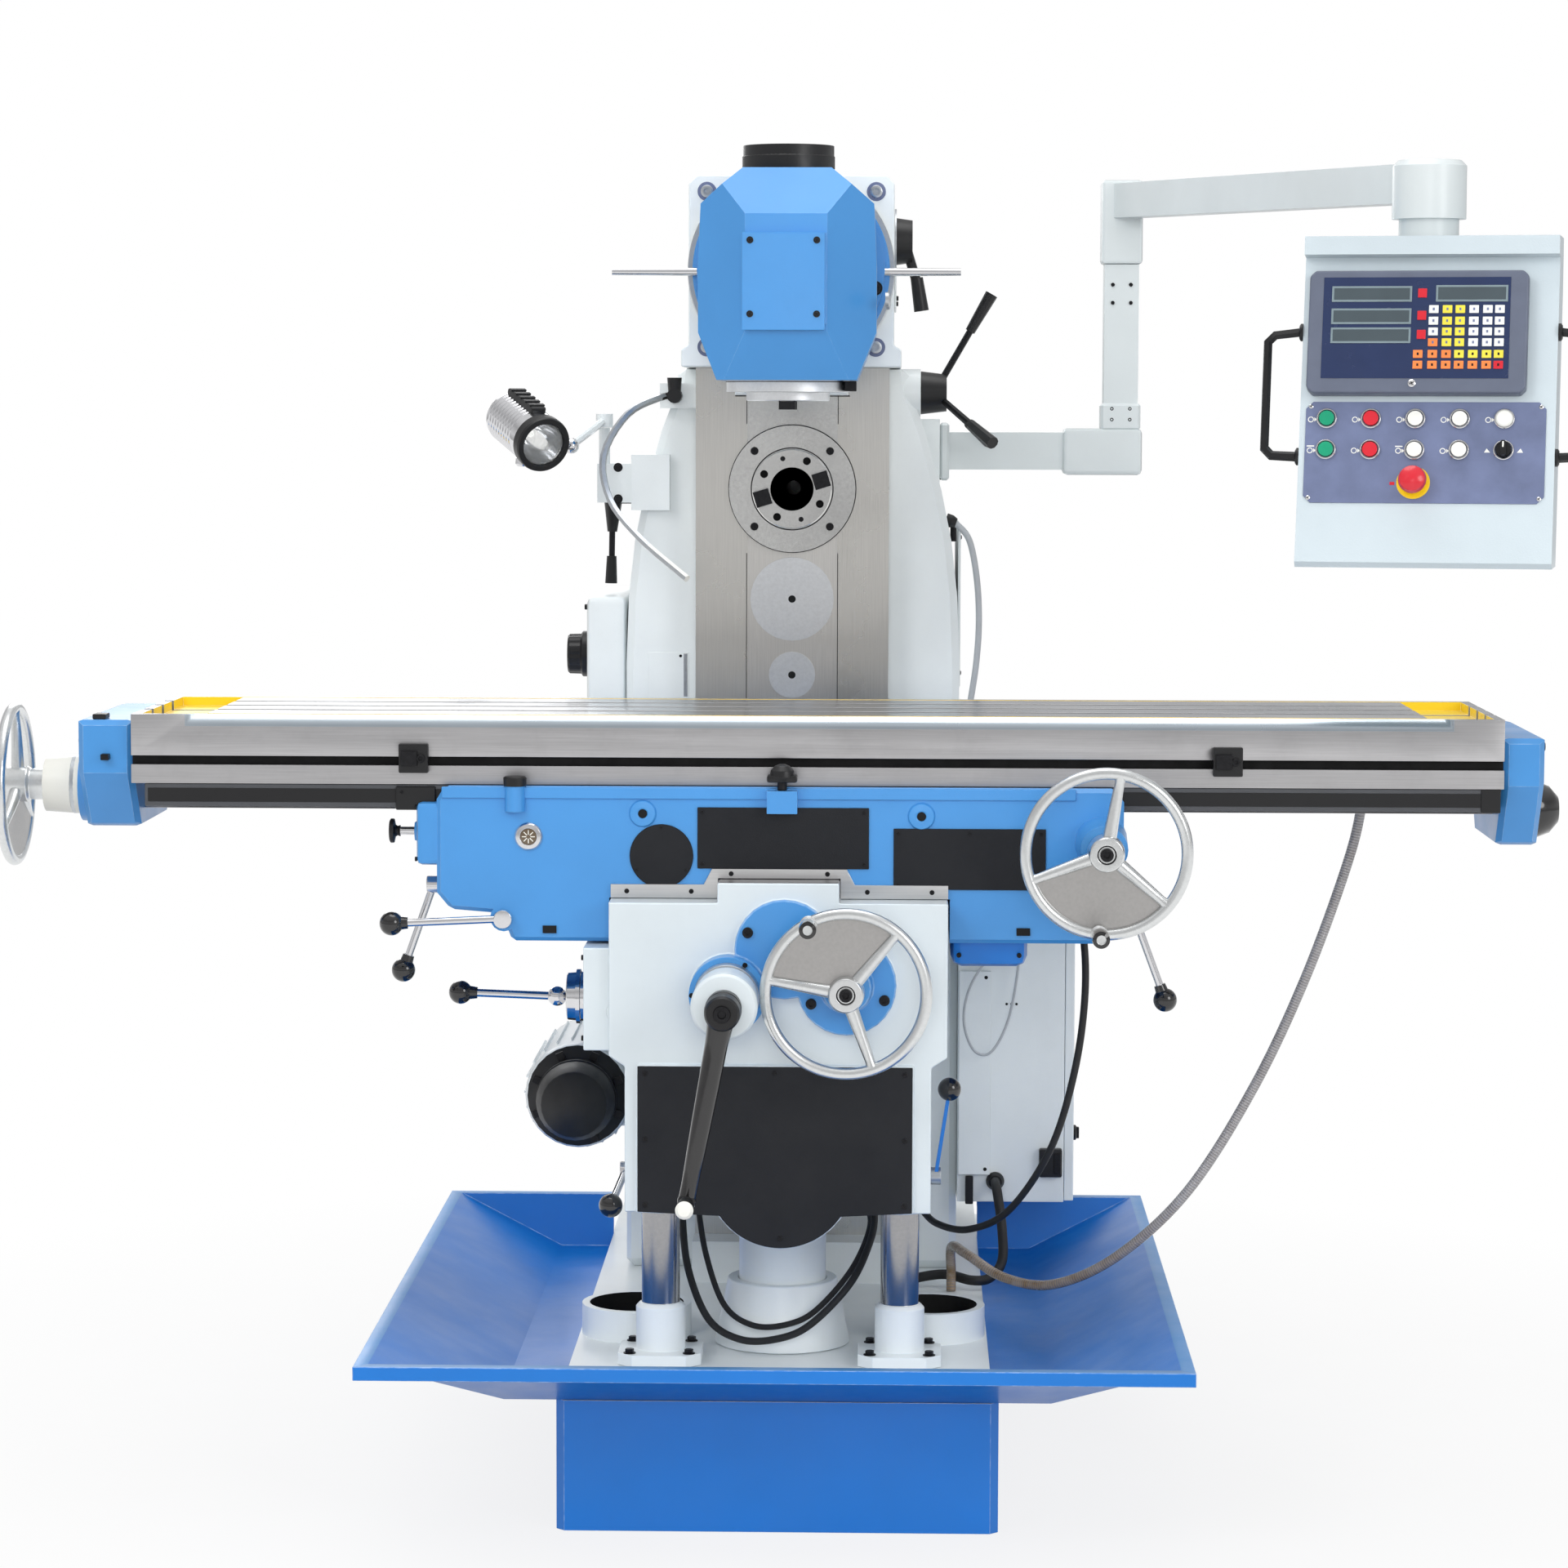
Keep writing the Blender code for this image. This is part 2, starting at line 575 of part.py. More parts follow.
def head():
    back = -0.1375
    plan = [(0.062, HEAD_FRONT), (HEAD_HALF_WIDTH, -0.372), (HEAD_HALF_WIDTH, -0.20), (0.12, back)]
    body = plate([*plan, *[(-x, y) for x, y in reversed(plan)]], "Z", HEAD_BOTTOM, HEAD_TOP)
    front_view = [(0.066, HEAD_TOP + 0.001), (0.132, HEAD_TOP - 0.054), (HEAD_HALF_WIDTH + 0.004, HEAD_BOTTOM + 0.082),
                  (0.106, HEAD_BOTTOM - 0.001)]
    side_view = [(-0.390, HEAD_TOP + 0.001), (-0.452, HEAD_TOP - 0.074), (-0.452, HEAD_BOTTOM + 0.077),
                 (-0.415, HEAD_BOTTOM - 0.001), (back + 0.01, HEAD_BOTTOM - 0.001),
                 (back + 0.01, HEAD_TOP + 0.001)]
    axis = (0, HEAD_SPINDLE_Y)
    steps = [("keep", plate(mirrored(front_view), "Y", -0.5, 0)),
             ("keep", plate(side_view, "X", -0.2, 0.2)),
             ("add", bar((0, RAM_FRONT - GAP, HEAD_Z - 0.02), (0, -0.150, HEAD_Z - 0.02),
                         FLANGE_RADIUS - 0.012, FLANGE_RADIUS - 0.012, 40)),
             ("add", box(-0.061, 0.061, -0.457, -0.43, HEAD_Z - 0.110, HEAD_Z + 0.026)),
             ("add", bar((*axis, HEAD_TOP - 0.009), (*axis, CAP_TOP), 0.070, segments=32)),
             ("add", bar((*axis, NOSE_Z + NOSE_LENGTH + GAP), (*axis, HEAD_BOTTOM + 0.022), 0.095, segments=40)),
             ("cut", bar((*axis, HEAD_BOTTOM - 0.028), (*axis, HEAD_TOP - 0.044), 0.0505, segments=32))]
    for side, reach in ((-1, 0.283), (1, 0.268)):
        steps.append(("add", bar((side * 0.13, -0.122, HEAD_Z - 0.022), (side * reach, -0.122, HEAD_Z - 0.022), 0.0068,
                                 0.0058, 12)))
    piece("head_housing", body, BLUE, steps, origin=(0, RAM_FRONT, HEAD_Z - 0.02))
    face = (*axis, NOSE_Z)
    spindle = turned(nose_profile(0.30), face, (0, 0, -1), 40, closed=True)
    keys = [("add", nose_key(face, (0, 0, -1), (0, -1, 0), 0.0365, 0.062)),
            ("add", nose_key(face, (0, 0, -1), (0, 1, 0), 0.0365, 0.062))]
    piece("vertical_spindle", spindle, STEEL, keys)


# ---------------------------------------------------------------- knee


def knee():
    w, lw = KNEE_HALF_WIDTH, KNEE_LOWER_HALF_WIDTH
    front_view = [(KNEE_RAIL_HALF_WIDTH, KNEE_RAIL_TOP), (KNEE_RAIL_HALF_WIDTH, KNEE_TOP), (w, KNEE_TOP),
                  (w, 0.700), (lw, 0.685), (lw, 0.30)]
    side_view = [(KNEE_FRONT, 1.0), (KNEE_FRONT, KNEE_BOTTOM), (-0.42, KNEE_BOTTOM), (-0.14, 0.412),
                 (WAY_DEPTH - 0.004, 0.412), (WAY_DEPTH - 0.004, 1.0)]
    body = plate(mirrored(front_view), "Y", KNEE_FRONT - 0.01, 0.1)
    inside = [(-0.77, 0.90), (-0.77, KNEE_BOTTOM + 0.03), (-0.42, KNEE_BOTTOM + 0.03), (-0.13, 0.45),
              (-0.035, 0.45), (-0.035, 0.90)]
    steps = [("keep", plate(side_view, "X", -0.3, 0.3)),
             ("add", box(-0.283, -0.20, -0.785, -0.45, 0.706, 0.856)),
             ("cut", plate(inside, "X", -lw + 0.025, lw - 0.025)),
             ("cut", box(-0.15, 0.15, -0.40, -0.10, 0.35, 0.52)),
             ("cut", plate(way_outline(FIT), "Z", 0.3, 1.1)),
             ("cut", box(-0.131, 0.131, 0.0, 0.1, 0.3, 1.1)),
             ("cut", bar((0, SCREW_Y, 0.40), (0, SCREW_Y, 0.51), 0.054, segments=24)),
             ("add", bar((-0.28, -0.62, 0.763), (-0.3185, -0.62, 0.763), 0.038, 0.035, 24))]
    # Cover, boss and handwheel bearings on the front
    cover = [(0.009, 0.858, 0.072), (0.099, 0.806, 0.072)]
    for x, z, r in cover:
        steps.append(("add", bar((x, KNEE_FRONT - 0.012, z), (x, -0.78, z), r, segments=28)))
    x, _, z = CROSS_WHEEL
    steps.append(("add", bar((x, -0.842, z), (x, -0.79, z), 0.036, 0.040, 20)))
    x, _, z = CRANK
    steps.append(("add", bar((x, -0.835, z), (x, -0.79, z), 0.055, 0.056, 28)))
    # Cover plate with its round lower lobe, hanging below the casting
    lobe = [(-0.205 + 0.003, 0.689), (-0.205, 0.472), (-0.150, 0.472)]
    for i in range(13):
        a = math.radians(205 + 130 * i / 12)
        lobe.append((0.004 + 0.108 * math.cos(a), 0.528 + 0.108 * math.sin(a)))
    lobe += [(0.150, 0.472), (0.197, 0.472), (0.197, 0.689)]
    steps.append(("add", plate(lobe, "Y", KNEE_FRONT - 0.005, KNEE_FRONT + 0.006)))
    for side in (-1, 1):
        at = (side * POST_X, POST_Y)
        steps.append(("add", bar((*at, 0.448), (*at, 0.52), 0.043, segments=20)))
        steps.append(("cut", bar((*at, 0.40), (*at, 0.915), POST_RADIUS + FIT, segments=24)))
    piece("knee", body, PALE, steps)


def elevating_screw():
    """The fixed screw, the tube that hangs from the knee round it, and the sleeve that the tube slides in."""
    z0, z1 = TUBE_FOOT, KNEE_BOTTOM - GAP
    ring = [(TUBE_BORE, z1), (TUBE_RADIUS, z1), (TUBE_RADIUS, z0), (TUBE_BORE, z0)]
    piece("screw_tube", turned(ring, (0, SCREW_Y, 0), (0, 0, 1), 28, closed=True), PALE)
    r = SCREW_RADIUS
    screw = [(0, 0.745), (r - 0.003, 0.745), (r, 0.742), (r, STRAP + GAP), (0, STRAP + GAP)]
    piece("elevating_screw", turned(screw, (0, SCREW_Y, 0), (0, 0, 1), 20), STEEL)
    z = PLINTH_TOP + GAP
    bore = TUBE_RADIUS + FIT
    sleeve = [(bore, 0.319), (0.0835, 0.319), (0.0845, 0.310), (0.102, z + 0.004), (0.104, z), (bore, z)]
    piece("screw_housing", turned(sleeve, (0, SCREW_Y, 0), (0, 0, 1), 36, closed=True), PALE)


def guide_posts():
    for name, side in (("guide_post_left", -1), ("guide_post_right", 1)):
        x, z = side * POST_X, PLINTH_TOP + GAP
        foot = turned([(0, POST_TOP), (POST_RADIUS - 0.003, POST_TOP), (POST_RADIUS, POST_TOP - 0.003),
                       (POST_RADIUS, 0.308), (0.031, 0.308), (0.037, 0.302), (0.037, z), (0, z)],
                      (x, POST_Y, 0), (0, 0, 1), 28)
        c = 0.062
        square = plate(chamfered(x - c, x + c, POST_Y - c, POST_Y + c, 0.022), "Z", z, z + 0.018)
        piece(name, foot, CHROME, [("add", square)])


def feed_motor():
    x, z = -0.318, 0.580
    shell = turned([(0, 0.42), (0.030, 0.415), (0.050, 0.400), (0.060, 0.37), (0.060, 0.32),
                    (0.078, 0.31), (0.082, 0.30), (0.082, 0.02), (0.07, 0), (0, 0)],
                   (x, -0.10, z), (0, -1, 0), 28)
    foot = box(x, -KNEE_LOWER_HALF_WIDTH - GAP, -0.39, -0.13, z - 0.05, z + 0.05)
    piece("feed_motor", shell, PALE, [("add", foot)])


def feed_joystick():
    at = (-0.3335, -0.62, 0.763)
    steps = [("add", bar(at, (-0.470, -0.62, 0.768), 0.0058, segments=10)),
             ("add", ball((-0.4775, -0.62, 0.768), BALL))]
    piece("feed_joystick", ball(at, 0.0145, 12, 8), BLACK, steps, origin=at)


def handwheel(centre, facing, spoke_turn, handle_turn, web_turn, shaft, hub_radius=0.027):
    """Rim, three spokes, one web between two of them, hub and handle; facing is where the handle points."""
    turn = Vector(facing).to_track_quat("Z", "Y").to_matrix().to_4x4()
    place = Matrix.Translation(centre) @ turn

    def at(x, y, z):
        return place @ Vector((x, y, z))

    mid = WHEEL_RADIUS - WHEEL_RIM
    loop = [(mid + WHEEL_RIM * math.cos(math.radians(a)), WHEEL_RIM * math.sin(math.radians(a)))
            for a in range(90, -270, -45)]
    rim = turned(loop, centre, facing, 36, closed=True)
    hub_end = 0.016
    steps = [("add", bar(at(0, 0, -shaft), at(0, 0, hub_end), hub_radius, hub_radius - 0.003, 20))]
    for i in range(3):
        a = math.radians(spoke_turn + 120 * i)
        tip = at(mid * math.cos(a), mid * math.sin(a), 0)
        steps.append(("add", bar(at(0, 0, -0.004), tip, 0.0105, 0.0065, 10)))
    first, second = (math.radians(web_turn + s) for s in (-60, 60))
    web = [(0, 0)] + [(mid * math.cos(first + (second - first) * i / 8),
                       mid * math.sin(first + (second - first) * i / 8)) for i in range(9)]
    steps.append(("add", plate(web, "Z", -0.0055, -0.0015, place)))
    a = math.radians(handle_turn)
    hx, hy = (mid - 0.001) * math.cos(a), (mid - 0.001) * math.sin(a)
    steps.append(("add", bar(at(hx, hy, 0), at(hx, hy, 0.078), 0.009, 0.0125, 12)))
    return rim, steps


def knee_crank():
    x, y, z = CRANK
    hub = turned([(0, 0.024), (0.022, 0.024), (0.025, 0.020), (0.025, -0.04), (0.043, -0.045),
                  (0.046, -0.07), (0.046, -0.120), (0.030, -0.1645), (0, -0.1645)],
                 (x, y, z), (0, -1, 0), 24)
    foot = (x - 0.050, y - 0.008, z - 0.268)
    steps = [("add", bar((x, y - 0.002, z), foot, 0.0155, 0.0115, 12)),
             ("add", bar((foot[0], y - 0.002, foot[2]), (foot[0], y - 0.085, foot[2]), 0.0115, 0.010, 12))]
    piece("knee_crank", hub, BLACK, steps)


def post_clamps():
    x = KNEE_LOWER_HALF_WIDTH + GAP
    for name, side, z, tip in (("post_clamp_right", 1, 0.500, (0.020, 0.0, 0.130)),
                               ("post_clamp_left", -1, 0.505, (-0.014, -0.125, -0.030))):
        pivot = Vector((side * (x + 0.008), POST_Y, z))
        hub = bar((side * x, POST_Y, z), (side * (x + 0.016), POST_Y, z), 0.013, segments=14)
        end = pivot + Vector(tip)
        steps = [("add", bar(pivot, end, 0.0055, segments=8)), ("add", ball(end, BALL, 12, 8))]
        piece(name, hub, BLACK, steps, origin=pivot)


# ---------------------------------------------------------------- saddle and table


def table_rail(grow):
    """The table's dovetail rail: (y, z) points, wider at its foot."""
    y, foot, top = TABLE_Y, 1.040, 1.0885
    return [(y - 0.082 - grow, foot - grow), (y + 0.082 + grow, foot - grow),
            (y + 0.065 + grow, top), (y - 0.065 - grow, top)]


def saddle():
    x = SADDLE_HALF_LENGTH
    k = KNEE_HALF_WIDTH + 0.003
    r = KNEE_RAIL_HALF_WIDTH + FIT
    low, flat, rail = SADDLE_BOTTOM, KNEE_TOP + GAP, KNEE_RAIL_TOP + 0.001
    outline = [(-x + 0.012, SADDLE_TOP), (-x, SADDLE_TOP - 0.02), (-x, 0.930), (-x + 0.02, 0.906),
               (-0.405, 0.900), (-0.390, low), (x - 0.03, low), (x, low + 0.03),
               (x, SADDLE_TOP - 0.02), (x - 0.012, SADDLE_TOP)]
    body = plate(outline, "Y", SADDLE_FRONT, SADDLE_BACK)
    rounded(body, 0.006, 1)
    on_knee = [(-k, 0.8), (-k, flat), (-r, flat), (-r, rail), (r, rail), (r, flat), (k, flat), (k, 0.8)]
    steps = [("cut", plate(on_knee, "Y", -0.9, 0.0)),
             ("cut", plate(table_rail(FIT), "X", -0.6, 0.6)),
             ("cut", box(-0.6, 0.6, -0.7245, -0.66, 1.040, 1.12)),
             ("cut", box(-0.6, 0.6, -0.38, -0.2, 1.060, 1.12))]
    for side in (-1, 1):
        a, b = sorted((side * 0.285, side * 0.470))
        steps.append(("cut", box(a, b, -0.705, -0.30, 0.80, 1.005)))
    wx, _, wz = FRONT_WHEEL
    steps += [("add", bar((wx, -0.842, wz), (wx, -0.70, wz), 0.034, 0.040, 24)),
              ("add", rounded(box(-0.530, -0.49, -0.735, -0.645, 0.970, 1.062), 0.008, 2)),
              ("add", rounded(box(0.250, 0.362, -0.715, -0.55, 0.822, 0.880), 0.016, 2)),
              ("add", bar((-0.402, -0.740, 0.894), (-0.402, -0.66, 0.894), 0.020, segments=16)),
              ("add", bar((0.505, -0.66, 0.905), (0.47, -0.66, 0.905), 0.020, segments=16)),
              ("add", bar((-0.385, -0.742, 1.05), (-0.385, -0.742, 1.100), 0.015, segments=12)),
              ("add", box(-0.018, 0.026, -0.762, -0.73, 1.050, 1.083))]
    piece("saddle", body, BLUE, steps)


def lever(name, hub, pivot, tip, mat=BLACK, rod=0.0055):
    """A ball-ended lever with a round hub between two points."""
    steps = [("add", bar(pivot, tip, rod, segments=8)), ("add", ball(tip, BALL, 12, 8))]
    piece(name, bar(*hub, 0.013, segments=14), mat, steps, origin=pivot)


def saddle_levers():
    y = -0.748
    lever("saddle_lever_a", ((-0.402, -0.7405, 0.894), (-0.402, -0.763, 0.894)), (-0.402, -0.753, 0.894),
          (-0.5640, -0.760, 0.887))
    x = -SADDLE_HALF_LENGTH - GAP
    lever("saddle_lever_b", ((x, -0.66, 0.934), (x - 0.022, -0.66, 0.934)), (x - 0.012, -0.66, 0.934),
          (-0.5580, -0.66, 0.806))
    lever("saddle_lever_c", ((0.5055, -0.66, 0.905), (0.527, -0.66, 0.905)), (0.516, -0.66, 0.905),
          (0.567, -0.66, 0.768))
    stem = bar((-0.5305, -0.69, 1.016), (-0.562, -0.69, 1.016), 0.0060, segments=10)
    knob = bar((-0.558, -0.69, 1.016), (-0.574, -0.69, 1.016), 0.016, 0.018, 16)
    piece("lube_pump_knob", stem, BLACK, [("add", knob)])
    at = (0.004, -0.7500, 1.0835)
    post = bar(at, (at[0], at[1], 1.102), 0.007, segments=12)
    grip = rounded(box(-0.018, 0.026, -0.768, -0.733, 1.094, 1.122), 0.008, 2)
    piece("trip_lever", post, BLACK, [("add", grip)], origin=at)


def table():
    x0, x1 = TABLE_X - TABLE_LENGTH / 2, TABLE_X + TABLE_LENGTH / 2
    y0, y1 = TABLE_Y - TABLE_WIDTH / 2, TABLE_Y + TABLE_WIDTH / 2
    low = TABLE_TOP - TABLE_THICKNESS
    body = box(x0, x1, y0, y1, low, TABLE_TOP)
    past = 0.01
    end, edge, lip = 0.095, 0.012, 0.014
    slot_foot = TABLE_TOP - 0.036
    steps = [("add", plate(table_rail(0), "X", x0, x1)),
             ("cut", box(x0 - past, x1 + past, TABLE_Y - 0.0205, TABLE_Y + 0.0205, 1.0, 1.0905)),
             ("cut", box(x0 - past, x1 + past, y0 - past, y0 + 0.012, 1.1145, 1.1275))]
    h = SLOT_WIDTH / 2
    for i in (-1, 0, 1):
        y = TABLE_Y + i * SLOT_PITCH
        tee = [(y - h, TABLE_TOP + past), (y - h, slot_foot + 0.014), (y - 0.015, slot_foot + 0.014),
               (y - 0.015, slot_foot), (y + 0.015, slot_foot), (y + 0.015, slot_foot + 0.014),
               (y + h, slot_foot + 0.014), (y + h, TABLE_TOP + past)]
        steps.append(("cut", plate(tee, "X", x0 - past, x1 + past)))
    inner = [(x0 + lip + end, y0 + lip + edge), (x1 - lip - end, y0 + lip + edge),
             (x1 - lip - end, y1 - lip - edge), (x0 + lip + end, y1 - lip - edge)]
    outer = [(x0 + lip, y0 + lip), (x1 - lip, y0 + lip), (x1 - lip, y1 - lip), (x0 + lip, y1 - lip)]
    steps.append(("cut", plate([outer, inner], "Z", TABLE_TOP - 0.014, TABLE_TOP + past)))
    piece("table", body, STEEL, steps)
    y, z = TABLE_Y, LEAD_Z
    face = x0 - GAP
    left = plate([(y - 0.185, 1.10), (y - 0.185, 1.178), (y + 0.185, 1.178), (y + 0.185, 1.10),
                  (y + 0.12, 1.016), (y - 0.12, 1.016)], "X", x0 - 0.081, face)
    rounded(left, 0.008, 1)
    steps = [("add", bar((x0 - 0.107, y, z), (x0 - 0.051, y, z), 0.055, 0.058, 28)),
             ("add", bar((x0 - 0.163, y, z), (x0 - 0.101, y, z), 0.041, 0.045, 28)),
             ("cut", bar((x0 - 0.251, y, z), (x0 + 0.049, y, z), 0.0168, segments=20))]
    piece("table_bracket_left", left, BLUE, steps)
    face = x1 + GAP
    right = plate([(y - 0.185, 1.09), (y - 0.185, 1.160), (y + 0.185, 1.160), (y + 0.185, 1.09),
                   (y + 0.12, 0.998), (y - 0.12, 0.998)], "X", face, x1 + 0.061)
    rounded(right, 0.008, 1)
    dome = turned([(0, 0.052), (0.020, 0.049), (0.035, 0.036), (0.042, 0.018), (0.042, 0), (0, 0)],
                  (x1 + 0.059, y, 1.040), (1, 0, 0), 24)
    steps = [("add", dome), ("cut", bar((x1 - 0.011, y, z), (x1 + 0.049, y, z), 0.0168, segments=20))]
    piece("table_bracket_right", right, BLUE, steps)
    screw = bar((x0 - 0.1635, y, z), (x1 + 0.044, y, z), 0.016, segments=16)
    piece("lead_screw", screw, STEEL, origin=(0, y, z))


def all_handwheels():
    rim, steps = handwheel(CROSS_WHEEL, (0, -1, 0), 50, 118, 110, 0.0575)
    piece("cross_handwheel", rim, ALLOY, steps)
    rim, steps = handwheel(FRONT_WHEEL, (0, -1, 0), 80, 265, 260, 0.0575)
    piece("front_handwheel", rim, ALLOY, steps)
    centre = (LEFT_WHEEL_X, TABLE_Y, LEAD_Z)
    rim, steps = handwheel(centre, (-1, 0, 0), 90, 30, 270, 0.047)
    piece("left_handwheel", rim, ALLOY, steps)


# ---------------------------------------------------------------- lamp, gooseneck, cabinet


def lamp():
    at = Vector((-0.307, 0.055, 1.6035))
    knuckle = bar(at, at + Vector((0, 0, 0.022)), 0.014, segments=14)
    end = Vector((-0.352, -0.075, 1.575))
    steps = [("add", bar(at + Vector((0, 0, 0.012)), end, 0.0065, segments=8)),
             ("add", ball(end, 0.013, 12, 8))]
    piece("lamp_arm", knuckle, CHROME, steps, origin=at)
    aim = Vector((0.47, -0.82, -0.33)).normalized()
    centre = Vector((-0.418, -0.12, 1.598))
    back, front = centre - aim * 0.075, centre + aim * 0.060
    shell = bar(back, front, 0.042, 0.042, 24)
    pivot = end
    ear = pivot + Vector((-0.0135, 0, 0))
    steps = [("add", bar(back - aim * 0.010, back + aim * 0.002, 0.026, 0.040, 20)),
             ("add", bar(front - aim * 0.012, front + aim * 0.006, 0.0445, segments=24)),
             ("add", bar(ear + Vector((-0.004, 0, 0)), centre, 0.007, segments=8)),
             ("add", bar(ear, ear + Vector((-0.012, 0, 0)), 0.011, segments=12))]
    piece("lamp_head", shell, CHROME, steps, origin=pivot)


def gooseneck():
    route = [(-0.190, 0.0, 1.655), (-0.212, -0.02, 1.652), (-0.262, -0.07, 1.625), (-0.298, -0.10, 1.560),
             (-0.286, -0.13, 1.490), (-0.235, -0.18, 1.430), (-0.158, -0.25, 1.370)]
    obj = tube(smooth_route(route, 5), 0.0058, 1)
    steps = [("add", bar((-0.190, 0.0195, 1.655), (-0.190, -0.018, 1.655), 0.012, segments=12)),
             ("add", bar((-0.190, -0.008, 1.660), (-0.190, -0.008, 1.684), 0.010, 0.012, 12))]
    piece("coolant_gooseneck", obj, PALE, steps)


def cabinet():
    x0, x1, y0, y1, z0, z1 = COLUMN_HALF_WIDTH + GAP, 0.447, 0.02, 0.55, 0.34, 1.10
    t = 0.003
    body = box(x0, x1, y0, y1, z0, z1)
    steps = [("cut", box(x0 + t, x1 + 0.01, y0 + t, y1 - t, z0 + t, z1 - t))]
    piece("electrical_cabinet", body, PALE, steps)
    door = box(x1 + GAP, x1 + 0.016, y0 + 0.002, y1 - 0.002, z0 + 0.002, z1 - 0.002)
    inset = box(x1 - 0.01, x1 + 0.014, y0 + 0.006, y1 - 0.006, z0 + 0.006, z1 - 0.006)
    piece("cabinet_door", door, PALE, [("cut", inset)], origin=(x1 + GAP, y1 - 0.002, (z0 + z1) / 2))


# ---------------------------------------------------------------- pendant


def pendant_support():
    px, py = POST_CENTRE
    h = 0.0285
    arm = box(0.2405, px - 0.03, py - 0.026, py + 0.026, 1.534, 1.596)
    steps = [("add", rounded(box(0.2405, 0.256, py - 0.05, py + 0.05, 1.516, 1.612), 0.004, 1)),
             ("add", rounded(box(px - 0.096, px + 0.036, py - 0.036, py + 0.036, 1.5255, 1.603), 0.008, 2)),
             ("add", rounded(box(px - 0.033, px + 0.033, py - 0.033, py + 0.033, 1.60, 1.645), 0.004, 1)),
             ("add", box(px - h, px + h, py - h, py + h, 1.60, 1.8755)),
             ("add", bar((px, py, 1.86), (px, py, 1.94), 0.020, segments=16))]
    piece("pendant_support_arm", arm, PALE, steps)


def pendant_arm():
    px, py = POST_CENTRE
    qx, qy, qz = PENDANT_PIVOT
    sleeve = rounded(box(px - 0.034, px + 0.034, py - 0.034, py + 0.034, 1.876, 2.015), 0.006, 2)
    steps = []
    way = Vector((qx - px, qy - py, 0))
    length = way.length
    place = Matrix.Translation((px, py, 0)) @ way.to_track_quat("X", "Z").to_matrix().to_4x4()
    beam = plate([(0.0, 1.953), (length, 1.930), (length, 1.986), (0.0, 2.010)], "Y", -0.025, 0.025, place)
    steps.append(("add", beam))
    steps.append(("add", turned([(0, 1.990), (0.045, 1.990), (0.053, 1.982), (0.053, 1.9065),
                                 (0.043, 1.9065), (0.043, qz + GAP), (0, qz + GAP)],
                                (qx, qy, 0), (0, 0, 1), 28)))
    steps.append(("cut", bar((px, py, 1.80), (px, py, 1.945), 0.0208, segments=16)))
    piece("pendant_arm", sleeve, PALE, steps, origin=(px, py, 1.90))


def pendant_place():
    """The pendant's own axes: x across it, -y out towards the operator, z up from its pivot."""
    return Matrix.Translation(PENDANT_PIVOT) @ Matrix.Rotation(PENDANT_YAW, 4, "Z")


FACE_TOP = (0.058, -0.030)
FACE_FOOT = (0.158, -0.405)
FACE_TILT = math.atan2(FACE_FOOT[0] - FACE_TOP[0], FACE_TOP[1] - FACE_FOOT[1])
PENDANT_OFFSET = 0.010


def face_point(x, z, out=0.0):
    """A point on the pendant's sloping face, x across, z below the pivot, out from the face."""
    forward = FACE_TOP[0] + (FACE_TOP[1] - z) * math.tan(FACE_TILT) + out * math.cos(FACE_TILT)
    return pendant_place() @ Vector((x + PENDANT_OFFSET, -forward, z + out * math.sin(FACE_TILT)))


def face_bar(x, z, low, high, radius, end_radius=None, segments=16):
    return bar(face_point(x, z, low), face_point(x, z, high), radius, end_radius, segments)


COLUMNS = [-0.0162 + 0.062 * i for i in (-2, -1, 0, 1, 2)]
ROW_ONE, ROW_TWO, ROW_STOP = -0.2585, -0.302, -0.3475


